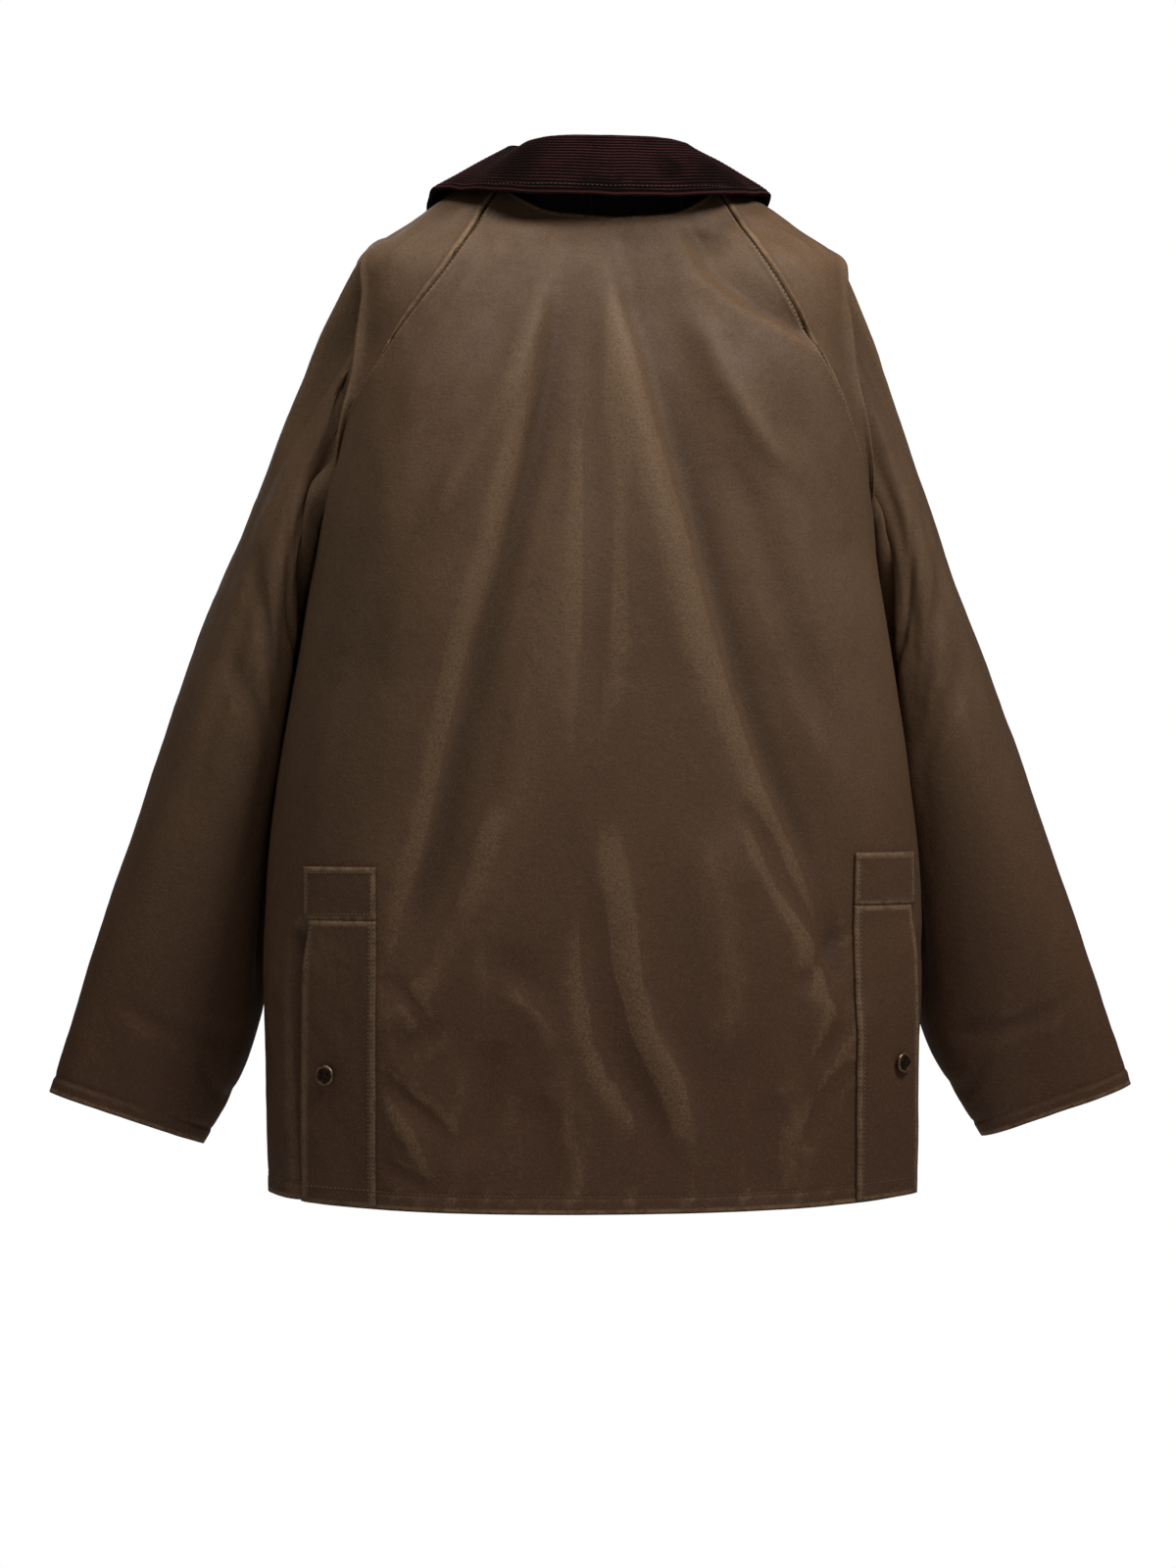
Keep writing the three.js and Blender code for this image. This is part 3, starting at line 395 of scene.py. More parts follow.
def crinkle_weight(p: Array) -> Array:
    """How strongly the cloth crinkles at places: most round the underarms, the vents and the hem."""
    x, z = p[..., 0], p[..., 2]
    arms = np.exp(-(((np.abs(x) - 205) / 60) ** 2) - ((z + 250) / 90) ** 2)
    vents = np.exp(-(((np.abs(x) - 190) / 70) ** 2) - ((z + 620) / 120) ** 2)
    hem = smooth((-620 - z) / 110)
    neck = smooth((z + 50) / 60)
    return 0.55 + 0.5 * arms + 0.7 * vents + 0.3 * hem - 0.25 * neck


BODY = BodyForm()


# Seams
def hem_height(turn: Array) -> Array:
    """The height of the hem at a turn."""
    fore = np.cos(np.radians(turn))
    end = np.where(fore > 0, HEM_BACK, HEM_FRONT)
    return HEM_SIDE + (end - HEM_SIDE) * np.abs(fore) ** 1.3


def raglan_place(share: Array, side: Side, hand: int = 1) -> tuple[Array, Array]:
    """Turns and heights on a raglan seam from neckline (0) to underarm (1), as if on the wearer's left."""
    s = np.asarray(share, float)
    weights = [(1 - s) ** 3, 3 * s * (1 - s) ** 2, 3 * s**2 * (1 - s), s**3]
    x = sum(w * p[0] for w, p in zip(weights, RAGLAN))
    z = sum(w * p[1] for w, p in zip(weights, RAGLAN))
    if side is Side.BACK:
        x = x + SEAM_SHIFT.read("left" if hand > 0 else "right", s)
    neck = NECK_TURN[side]
    start = NECKLINE.read("z", neck) - RAGLAN[0][1]
    height = z + start * (1 - s) ** 2
    fix = neck - BODY.turn_at(np.array(float(RAGLAN[0][0])), RAGLAN[0][1] + start, side)
    return BODY.turn_at(x, height, side) + fix * (1 - s) ** 2, height


def even_shares(side: Side, hand: int) -> Array:
    """Shares of the raglan curve that cut it into stretches of equal length."""
    fine = np.linspace(0, 1, 61)
    points = BODY.point(*raglan_place(fine, side, hand))
    length = np.concatenate([[0], np.cumsum(np.linalg.norm(np.diff(points, axis=0), axis=1))])
    return read_curve(length, fine, length[-1] * np.linspace(0, 1, ROWS_ABOVE + 1))


SEAM_SHARES = {(side, hand): even_shares(side, hand) for side in Side for hand in (1, -1)}


def seam_place(step: Array, side: Side, hand: int) -> tuple[Array, Array]:
    """Turns and heights on a sleeve's upper edge, from over the shoulder to the underarm."""
    step = np.asarray(step, float)
    share = read_curve(range(ROWS_ABOVE + 1), SEAM_SHARES[side, hand], np.maximum(step - NECK_STEPS, 0))
    turn, z = raglan_place(share, side, hand)
    neck = 90 + (NECK_TURN[side] - 90) * np.clip(step / NECK_STEPS, 0, 1)
    on_seam = step > NECK_STEPS
    return np.where(on_seam, turn, neck), np.where(on_seam, z, NECKLINE.read("z", neck))


def into_sleeve(step: Array, side: Side, hand: int) -> Array:
    """Directions along the surface from a panel into the sleeve, square to the seam."""
    half = LOOP / 2
    turn, z = seam_place(step, side, hand)
    after = seam_place(np.clip(step + 0.5, 0, half), side, hand)
    before = seam_place(np.clip(step - 0.5, 0, half), side, hand)
    along = BODY.point(hand * after[0], after[1]) - BODY.point(hand * before[0], before[1])
    across = unit(np.cross(along, BODY.normal(hand * turn, z)))
    across = across * (-hand if side is Side.FRONT else hand)
    at_end = (np.asarray(step) >= half)[..., None]
    return np.where(at_end, np.array([0.0, 0.0, 1.0]), across)


def seam_normal(step: Array, side: Side, hand: int) -> Array:
    """Directions in which the raglan seam's edges have their thickness."""
    turn, z = seam_place(step, side, hand)
    tip = smooth((np.asarray(step) / (LOOP / 2) - UNDERARM_SHARE) / (1 - UNDERARM_SHARE))
    down = np.stack([0 * tip, 0 * tip, tip], -1)
    return unit(BODY.normal(hand * turn, z) - down)


def panel_edge(row: Array, side: Side, hand: int) -> tuple[Array, Array]:
    """Turns and heights of a body panel's outer edge, up the side seam and then up the raglan seam."""
    row = np.asarray(row, float)
    share = np.clip(row / ROWS_BELOW, 0, 1)
    turn = SIDE_SEAM_TURN + (90 - SIDE_SEAM_TURN) * smooth((share - 0.8) / 0.2)
    hem = hem_height(turn)
    seam = seam_place(np.clip(LOOP / 2 - (row - ROWS_BELOW), 0, LOOP / 2), side, hand)
    below = row <= ROWS_BELOW
    return np.where(below, turn, seam[0]), np.where(below, hem + (UNDERARM - hem) * share, seam[1])


# Cloth as closed meshes
class Slot(Enum):
    """The material slots of the part."""

    COTTON = "waxed_cotton"
    TRIM = "waxed_cotton_trim"
    CORDUROY = "corduroy"
    UNDERCOLLAR = "undercollar_cloth"
    BRASS = "aged_brass"


def grid_normals(points: Array, tube: bool, out: Array, at: tuple[int, int]) -> Array:
    """Directions out of a grid of points; `out` points out of it at the place `at`."""
    along = np.gradient(points, axis=0)
    if tube:
        across = (np.roll(points, -1, axis=1) - np.roll(points, 1, axis=1)) / 2
    else:
        across = np.gradient(points, axis=1)
    normals = unit(np.cross(across, along))
    return -normals if normals[at] @ np.asarray(out, float) < 0 else normals


def blurred(grid: Array, tube: bool, times: int) -> Array:
    """A grid averaged with its neighbours so many times."""
    for _ in range(times):
        up = np.concatenate([grid[:1], grid[:-1]])
        down = np.concatenate([grid[1:], grid[-1:]])
        if tube:
            left, right = np.roll(grid, 1, axis=1), np.roll(grid, -1, axis=1)
        else:
            left = np.concatenate([grid[:, :1], grid[:, :-1]], axis=1)
            right = np.concatenate([grid[:, 1:], grid[:, -1:]], axis=1)
        grid = (grid * 2 + up + down + left + right) / 6
    return grid


@dataclass
class Cloth:
    """A sheet of cloth given by the grid of its outer face, in millimetres.

    Args:
        points: the outer face, by row and column.
        normals: the directions out of it.
        thickness: how thick the cloth is.
        tube: whether the last column meets the first.
        seam: how far each point is from the nearest seam or edge.
    """

    points: Array
    normals: Array
    thickness: float
    tube: bool = False
    seam: Array | None = None

    def area(self) -> float:
        """The area of the middle of the cloth in square metres."""
        p = self.points - self.normals * self.thickness / 2
        if self.tube:
            p = np.concatenate([p, p[:, :1]], axis=1)
        a, b = p[1:, 1:] - p[:-1, :-1], p[1:, :-1] - p[:-1, 1:]
        return float(np.linalg.norm(np.cross(a, b), axis=-1).sum() / 2 * MM * MM)

    def build(self, name: str) -> bpy.types.Object:
        """Makes the closed mesh, with how proud and how hollow each point lies as attributes."""
        rows, columns = self.points.shape[:2]
        count = rows * columns
        inner = self.points - self.normals * self.thickness
        xyz = np.concatenate([self.points.reshape(-1, 3), inner.reshape(-1, 3)]) * MM
        index = np.arange(count).reshape(rows, columns)
        if self.tube:
            index = np.concatenate([index, index[:, :1]], axis=1)
        a, b, c, d = index[:-1, :-1], index[:-1, 1:], index[1:, 1:], index[1:, :-1]
        top = np.stack([a, b, c, d], -1).reshape(-1, 4)
        under = np.stack([a, d, c, b], -1).reshape(-1, 4) + count
        walls = [self._wall(index, axis, end, count) for axis in (0, 1) for end in (0, 1)]
        quads = np.concatenate([top, under] + walls)
        mesh = bpy.data.meshes.new(name)
        mesh.from_pydata(xyz.tolist(), [], quads.tolist())
        inside = np.zeros(len(quads), np.int32)
        inside[len(top) : len(top) + len(under)] = 1
        mesh.polygons.foreach_set("material_index", inside)
        mesh.polygons.foreach_set("use_smooth", np.ones(len(quads), bool))
        self.carry(mesh, "proud", self._relief(2))
        # How far each point lies in or out of its broad surroundings; the waxed cotton paints shade where this is
        # low and paler wear where it is high
        self.carry(mesh, "hollow", self._relief(60))
        seam = np.full(self.points.shape[:2], 50.0) if self.seam is None else self.seam
        self.carry(mesh, "seam", seam)
        mesh.validate()
        thing = bpy.data.objects.new(name, mesh)
        bpy.context.scene.collection.objects.link(thing)
        if self._turned_in(thing):
            mesh.flip_normals()
        return thing

    def _wall(self, index: Array, axis: int, end: int, count: int) -> Array:
        """The quads between the two faces where the cloth ends in one direction."""
        if axis == 0:
            p, q = (index[0, 1:], index[0, :-1]) if end == 0 else (index[-1, :-1], index[-1, 1:])
        elif self.tube:
            return np.empty((0, 4), int)
        else:
            p, q = (index[:-1, 0], index[1:, 0]) if end == 0 else (index[1:, -1], index[:-1, -1])
        return np.stack([p, q, q + count, p + count], -1)

    def _relief(self, reach: int) -> Array:
        """How far each point stands out of its smoothed surroundings."""
        smoothed = blurred(self.points, self.tube, reach)
        return np.sum((self.points - smoothed) * self.normals, axis=-1)

    def carry(self, mesh: bpy.types.Mesh, name: str, values: Array) -> None:
        """Gives both faces of the mesh a value for each point, which the finishes read."""
        flat = np.concatenate([values.reshape(-1)] * 2).astype(np.float32)
        mesh.attributes.new(name, "FLOAT", "POINT").data.foreach_set("value", flat)

    def _turned_in(self, thing: bpy.types.Object) -> bool:
        """Whether the mesh's faces point into the cloth."""
        poly = thing.data.polygons[0]
        rows, columns = self.points.shape[:2]
        k = poly.vertices[0]
        return float(np.dot(np.array(poly.normal), self.normals.reshape(-1, 3)[k])) < 0


def dress(
    thing: bpy.types.Object, slot: Slot, *finishes: bpy.types.Material, node: str | None = None
) -> None:
    """Gives a piece its finishes, and lets it ride and stand for its solid."""
    thing.data.materials.clear()
    for finish in finishes:
        thing.data.materials.append(finish)
    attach(thing, "root")
    if node is not None:
        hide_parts(node)


def seam_distance(points: Array, seams: Sequence[Array]) -> Array:
    """How far each point of a grid is from the nearest of some lines, up to 50 mm."""
    shares = np.linspace(0, 1, 8)
    line = np.concatenate([s[:-1] + (s[1:] - s[:-1]) * t for s in seams for t in shares])
    tree = kdtree.KDTree(len(line))
    for k, p in enumerate(line):
        tree.insert(p, k)
    tree.balance()
    flat = points.reshape(-1, 3)
    out = np.array([tree.find(p)[2] for p in flat])
    return np.minimum(out, 50).reshape(points.shape[:-1])


def welt(distance: Array) -> Array:
    """The relief of a felled seam or a turned hem beside an edge: a dip at it and a low ridge beside it."""
    dip = -1.5 * np.exp(-((distance / 1.2) ** 2))
    ridge = 1.0 * np.exp(-(((distance - 3.6) / 2.4) ** 2))
    return dip + ridge


# Stitches
@dataclass(frozen=True)
class Thread:
    """Sewing thread: how long its stitches are, the pitch that they repeat at and how thick they stand."""

    length: float = 2.3
    pitch: float = 3.2
    width: float = 0.42
    height: float = 0.28

    def row(self, line: Array, lift: Array) -> tuple[Array, list[list[int]]]:
        """The mesh of a row of stitches along a line, with the directions out of the cloth there."""
        length = np.concatenate([[0], np.cumsum(np.linalg.norm(np.diff(line, axis=0), axis=1))])
        starts = np.arange(self.pitch / 2, length[-1] - self.length, self.pitch)
        at = lambda s, grid: np.stack([np.interp(s, length, grid[:, k]) for k in range(3)], -1)
        points, faces = [], []
        for s in starts:
            ends = at(np.array([s, s + self.length]), line)
            out = unit(at(np.array([s + self.length / 2]), lift))[0]
            along = unit(ends[1] - ends[0])
            side = np.cross(along, out)
            k = len(points)
            middle = ends.mean(0) + out * self.height
            points += [ends[0] - out * 0.15, ends[1] - out * 0.15]
            for t in (-0.28, 0.28):
                base = middle + along * self.length * t
                points += [base + side * self.width, base + out * self.height * 0.7, base - side * self.width]
            faces += [[k, k + 2, k + 3], [k, k + 3, k + 4]]
            faces += [[k + 2, k + 5, k + 6, k + 3], [k + 3, k + 6, k + 7, k + 4]]
            faces += [[k + 1, k + 6, k + 5], [k + 1, k + 7, k + 6]]
        return np.array(points), faces


@dataclass
class Sewing:
    """All the rows of stitches that one kind of thread makes on a piece."""

    thread: Thread = Thread()
    points: list[Array] = field(default_factory=list)
    faces: list[list[int]] = field(default_factory=list)
    trees: dict[str, BVHTree] = field(default_factory=dict)

    def add(self, cloth: bpy.types.Object, line: Array) -> None:
        """Sews a row along a line in millimetres, laid onto the outer face of a piece of cloth."""
        if cloth.name not in self.trees:
            outer = [p.vertices[:] for p in cloth.data.polygons if p.material_index == 0]
            self.trees[cloth.name] = BVHTree.FromPolygons([v.co[:] for v in cloth.data.vertices], outer)
        tree = self.trees[cloth.name]
        fine = resample(line, 1.6)
        places, lifts = [], []
        for p in fine:
            found = tree.find_nearest(Vector(p * MM))
            places.append(np.array(found[0]) / MM)
            lifts.append(np.array(found[1]))
        points, faces = self.thread.row(np.array(places), blur_line(np.array(lifts)))
        base = sum(len(p) for p in self.points)
        self.points.append(points)
        self.faces += [[base + k for k in f] for f in faces]

    def build(self, name: str, slot: Slot, finish: bpy.types.Material) -> bpy.types.Object:
        """Makes the mesh of all the stitches."""
        mesh = bpy.data.meshes.new(name)
        mesh.from_pydata((np.concatenate(self.points) * MM).tolist(), [], self.faces)
        mesh.polygons.foreach_set("use_smooth", np.ones(len(mesh.polygons), bool))
        thing = bpy.data.objects.new(name, mesh)
        bpy.context.scene.collection.objects.link(thing)
        dress(thing, slot, finish)
        log.info("%s: %d stitches", name, len(self.faces) // 6)
        return thing


def blur_line(values: Array) -> Array:
    """Vectors along a line, each averaged with the two beside it."""
    before = np.concatenate([values[:1], values[:-1]])
    after = np.concatenate([values[1:], values[-1:]])
    return unit(before + values + after)


def resample(line: Array, pitch: float) -> Array:
    """A line's points at an even pitch."""
    length = np.concatenate([[0], np.cumsum(np.linalg.norm(np.diff(line, axis=0), axis=1))])
    s = np.linspace(0, length[-1], max(int(length[-1] / pitch), 2))
    return np.stack([np.interp(s, length, line[:, k]) for k in range(line.shape[1])], -1)


# Finishes
class Nodes:
    """A material's node tree, with one short method for each kind of node that the finishes use."""

    def __init__(self, name: str) -> None:
        """Starts an empty material of that name."""
        self.material = bpy.data.materials.new(name)
        self.material.use_nodes = True
        self.tree = self.material.node_tree
        self.tree.nodes.clear()

    def node(self, kind: str, **settings: object) -> bpy.types.Node:
        """A node with its settings."""
        made = self.tree.nodes.new(kind)
        for key, value in settings.items():
            setattr(made, key, value)
        return made

    def put(self, socket: bpy.types.NodeSocket, value: object) -> None:
        """Links a socket, or sets it where the value isn't a socket."""
        if isinstance(value, bpy.types.NodeSocket):
            self.tree.links.new(value, socket)
        else:
            socket.default_value = value

    def place(self) -> bpy.types.NodeSocket:
        """The place in the object, in metres."""
        return self.node("ShaderNodeTexCoord").outputs["Object"]

    def stretched(self, scale: Sequence[float]) -> bpy.types.NodeSocket:
        """The place in the object, scaled along each axis."""
        made = self.node("ShaderNodeMapping")
        self.put(made.inputs["Vector"], self.place())
        made.inputs["Scale"].default_value = scale
        return made.outputs["Vector"]

    def noise(
        self, size: float, detail: float = 4.0, rough: float = 0.5, at: object = None
    ) -> bpy.types.NodeSocket:
        """Noise whose features are `size` metres apart."""
        made = self.node("ShaderNodeTexNoise")
        self.put(made.inputs["Vector"], self.place() if at is None else at)
        made.inputs["Scale"].default_value = 1 / size
        made.inputs["Detail"].default_value = detail
        made.inputs["Roughness"].default_value = rough
        return made.outputs["Fac"]

    def attribute(self, name: str) -> bpy.types.NodeSocket:
        """A value that the mesh carries."""
        return self.node("ShaderNodeAttribute", attribute_name=name).outputs["Fac"]

    def ramp(
        self, value: object, low: float, high: float, start: float = 0.0, end: float = 1.0
    ) -> bpy.types.NodeSocket:
        """A value eased from start to end as it goes from low to high."""
        made = self.node("ShaderNodeMapRange", interpolation_type="SMOOTHSTEP")
        limits = {"From Min": low, "From Max": high, "To Min": start, "To Max": end}
        for key, v in {"Value": value, **limits}.items():
            self.put(made.inputs[key], v)
        return made.outputs["Result"]

    def math(self, operation: str, a: object, b: object = 0.0) -> bpy.types.NodeSocket:
        """A sum, product or the like of two values."""
        made = self.node("ShaderNodeMath", operation=operation)
        self.put(made.inputs[0], a)
        self.put(made.inputs[1], b)
        return made.outputs[0]

    def mix(self, share: object, a: object, b: object) -> bpy.types.NodeSocket:
        """A colour between two, by share."""
        made = self.node("ShaderNodeMix", data_type="RGBA")
        self.put(made.inputs[0], share)
        self.put(made.inputs[6], a)
        self.put(made.inputs[7], b)
        return made.outputs[2]

    def bump(
        self, height: object, distance: float, strength: float = 1.0, under: object = None
    ) -> bpy.types.NodeSocket:
        """The normal of a fine relief, `distance` metres high."""
        made = self.node("ShaderNodeBump")
        made.inputs["Strength"].default_value = strength
        made.inputs["Distance"].default_value = distance
        self.put(made.inputs["Height"], height)
        if under is not None:
            self.put(made.inputs["Normal"], under)
        return made.outputs["Normal"]

    def surface(self, **sockets: object) -> bpy.types.Material:
        """Ends the tree with a surface of those values."""
        shader = self.node("ShaderNodeBsdfPrincipled")
        for key, value in sockets.items():
            self.put(shader.inputs[key.replace("_", " ")], value)
        out = self.node("ShaderNodeOutputMaterial")
        self.tree.links.new(shader.outputs[0], out.inputs["Surface"])
        return self.material


def colour(red: float, green: float, blue: float) -> tuple[float, float, float, float]:
    """A linear colour that lets nothing through."""
    return (red, green, blue, 1.0)


@dataclass(frozen=True)
class WaxedCotton:
    """Waxed cotton: olive brown, darker where the wax lies, paler and drier on ridges and sewn edges, with painted
    shade in the troughs of its folds, in its seams and towards the hem.
    """

    name: str = "waxed cotton"
    pale: tuple[float, ...] = (0.20, 0.122, 0.064)
    body: tuple[float, ...] = (0.108, 0.062, 0.0335)
    # The darkest tone: for the wax's mottling and the grain, and for painted shade in fold troughs and seams
    deep: tuple[float, ...] = (0.050, 0.0262, 0.0136)
    # Painted shade: a darker and redder tone that the cloth eases to towards the hem, for the light's fall-off down
    # the jacket
    low: tuple[float, ...] = (0.073, 0.0325, 0.0168)
    hem_shade_from: float = -0.25
    hem_shade_to: float = -0.66
    rough: float = 0.6
    # How strong the painted shade is in the crevice of each seam and at each cut edge
    seam_shade: float = 0.8

    def build(self) -> bpy.types.Material:
        """Makes the material."""
        n = Nodes(self.name)
        patches = n.noise(0.115, 4, 0.55, n.stretched((1, 1, 0.6)))
        mottle = n.noise(0.021, 5, 0.62)
        grain = n.noise(0.0016, 4, 0.7)
        proud, hollow, seam = n.attribute("proud"), n.attribute("hollow"), n.attribute("seam")
        base = n.mix(n.ramp(patches, 0.36, 0.68), colour(*self.body), colour(*(c * 1.17 for c in self.body)))
        base = n.mix(n.ramp(mottle, 0.45, 0.8, 0, 0.3), base, colour(*self.deep))
        apart = n.node("ShaderNodeSeparateXYZ")
        n.put(apart.inputs[0], n.place())
        # Painted shade: the colour eases to the low tone from chest height down to the hem, in place of the light
        # falling off
        base = n.mix(n.ramp(apart.outputs[2], self.hem_shade_from, self.hem_shade_to, 0, 0.85), base, colour(*self.low))
        # Painted shade: the deep tone laid into the troughs of the folds, where the hollow attribute is below zero
        base = n.mix(n.ramp(hollow, -0.4, -4.5, 0, 0.6), base, colour(*self.deep))
        crest = n.math("MULTIPLY", n.ramp(hollow, 0.4, 4.0), n.ramp(mottle, 0.3, 0.62))
        base = n.mix(n.math("MULTIPLY", crest, 0.2), base, colour(*self.pale))
        fine = n.math("MULTIPLY", n.ramp(proud, 0.05, 0.35), n.ramp(grain, 0.35, 0.7, 0.3, 1))
        base = n.mix(n.math("MULTIPLY", fine, 0.6), base, colour(*self.pale))
        edge = n.math("MULTIPLY", n.ramp(seam, 4.6, 2.4), n.ramp(n.noise(0.006, 4, 0.6), 0.36, 0.56, 0.35, 1))
        base = n.mix(n.math("MULTIPLY", edge, 0.62), base, colour(*(c * 1.25 for c in self.pale)))
        # Painted shade: a dark line in the crevice of each seam and at each cut edge
        base = n.mix(n.ramp(seam, 1.5, 0.3, 0, self.seam_shade), base, colour(*(c * 0.4 for c in self.deep)))
        base = n.mix(n.ramp(grain, 0.48, 0.74, 0, 0.3), base, colour(*self.pale))
        base = n.mix(n.ramp(grain, 0.52, 0.26, 0, 0.5), base, colour(*self.deep))
        relief = n.bump(n.noise(0.0011, 2, 0.6), 0.00022, 0.55)
        relief = n.bump(n.noise(0.0055, 4, 0.6), 0.0007, 0.5, relief)
        gloss = n.ramp(mottle, 0.3, 0.7, self.rough - 0.05, self.rough + 0.08)
        gloss = n.math("ADD", gloss, n.ramp(seam, 5, 0, 0, 0.1))
        return n.surface(Base_Color=base, Roughness=gloss, Normal=relief, Specular_IOR_Level=0.2)


@dataclass(frozen=True)
class LiningCloth:
    """Plain dark woven lining, with thin crossing lines in colours of its own."""

    name: str
    ground: tuple[float, ...] = (0.0065, 0.0068, 0.009)
    lines: tuple[tuple[float, float, tuple[float, ...]], ...] = ()

    def build(self) -> bpy.types.Material:
        """Makes the material; each line has its pitch, its place in that and its colour."""
        n = Nodes(self.name)
        weave = n.noise(0.0012, 3, 0.6)
        base = n.mix(n.ramp(weave, 0.35, 0.7), colour(*self.ground), colour(*(c * 2.1 for c in self.ground)))
        apart = n.node("ShaderNodeSeparateXYZ")
        n.put(apart.inputs[0], n.place())
        for k, (pitch, at, tone) in enumerate(self.lines):
            along = apart.outputs[0] if k % 2 == 0 else apart.outputs[2]
            cycle = n.math("FRACT", n.math("ADD", n.math("DIVIDE", along, pitch), at))
            near = n.ramp(n.math("ABSOLUTE", n.math("SUBTRACT", cycle, 0.5)), 0.0012 / pitch, 0.0004 / pitch)
            base = n.mix(n.math("MULTIPLY", near, n.ramp(weave, 0.3, 0.6, 0.3, 0.8)), base, colour(*tone))
        relief = n.bump(weave, 0.0003, 0.5)
        return n.surface(Base_Color=base, Roughness=0.9, Normal=relief, Specular_IOR_Level=0.15)


@dataclass(frozen=True)
class Corduroy:
    """The pile of the collar: dark wine brown, paler on the crests of the wales and where hands rub it, with
    painted shade in the furrows between the wales.
    """

    name: str = "collar corduroy"
    pile: tuple[float, ...] = (0.0026, 0.0009, 0.0009)
    crest: tuple[float, ...] = (0.062, 0.019, 0.018)
    furrow_shade: tuple[float, ...] = (0.0004, 0.0002, 0.0002)

    def build(self) -> bpy.types.Material:
        """Makes the material."""
        n = Nodes(self.name)
        wale, seam = n.attribute("wale"), n.attribute("seam")
        tuft = n.noise(0.0011, 3, 0.7)
        patch = n.noise(0.045, 4, 0.6)
        # Painted shade: the near-black tone laid into the furrows between the wales
        base = n.mix(n.ramp(wale, 0.2, 0.75), colour(*self.furrow_shade), colour(*self.pile))
        rubbed = n.math("MULTIPLY", n.ramp(wale, 0.8, 1.0), n.ramp(patch, 0.36, 0.62, 0.2, 0.95))
        base = n.mix(n.math("MULTIPLY", rubbed, n.ramp(tuft, 0.3, 0.7, 0.35, 1)), base, colour(*self.crest))
        base = n.mix(n.ramp(seam, 2.4, 0.6, 0, 0.45), base, colour(*(c * 1.5 for c in self.crest)))
        relief = n.bump(tuft, 0.0006, 0.8)
        return n.surface(Base_Color=base, Roughness=0.95, Normal=relief, Specular_IOR_Level=0.05,
                         Sheen_Weight=0.06, Sheen_Roughness=0.35, Sheen_Tint=colour(0.6, 0.25, 0.25))


@dataclass(frozen=True)
class AgedBrass:
    """Brass of a press stud's cap, darkened in its hollows and rubbed bright on its rim."""

    name: str = "aged brass"

    def build(self) -> bpy.types.Material:
        """Makes the material."""
        n = Nodes(self.name)
        spots = n.noise(0.0024, 5, 0.65)
        rim = n.attribute("rim")
        base = n.mix(n.ramp(spots, 0.38, 0.66), colour(0.03, 0.018, 0.011), colour(0.085, 0.052, 0.03))
        base = n.mix(n.math("MULTIPLY", n.ramp(rim, 0.4, 0.95), n.ramp(spots, 0.3, 0.55, 0.3, 0.9)), base,
                     colour(0.24, 0.155, 0.09))
        return n.surface(Base_Color=base, Metallic=0.9, Roughness=n.ramp(spots, 0.35, 0.7, 0.3, 0.55),
                         Normal=n.bump(spots, 0.00015, 0.4))


@dataclass(frozen=True)
class SewingThread:
    """Waxed thread, twisted."""

    name: str
    tone: tuple[float, ...]

    def build(self) -> bpy.types.Material:
        """Makes the material."""
        n = Nodes(self.name)
        twist = n.noise(0.0007, 2, 0.5)
        dirt = n.noise(0.03, 3, 0.5)
        base = n.mix(n.ramp(twist, 0.3, 0.7), colour(*(c * 0.55 for c in self.tone)), colour(*self.tone))
        base = n.mix(n.ramp(dirt, 0.4, 0.7, 0, 0.5), base, colour(0.02, 0.012, 0.008))
        return n.surface(Base_Color=base, Roughness=0.7, Normal=n.bump(twist, 0.0002, 0.6))


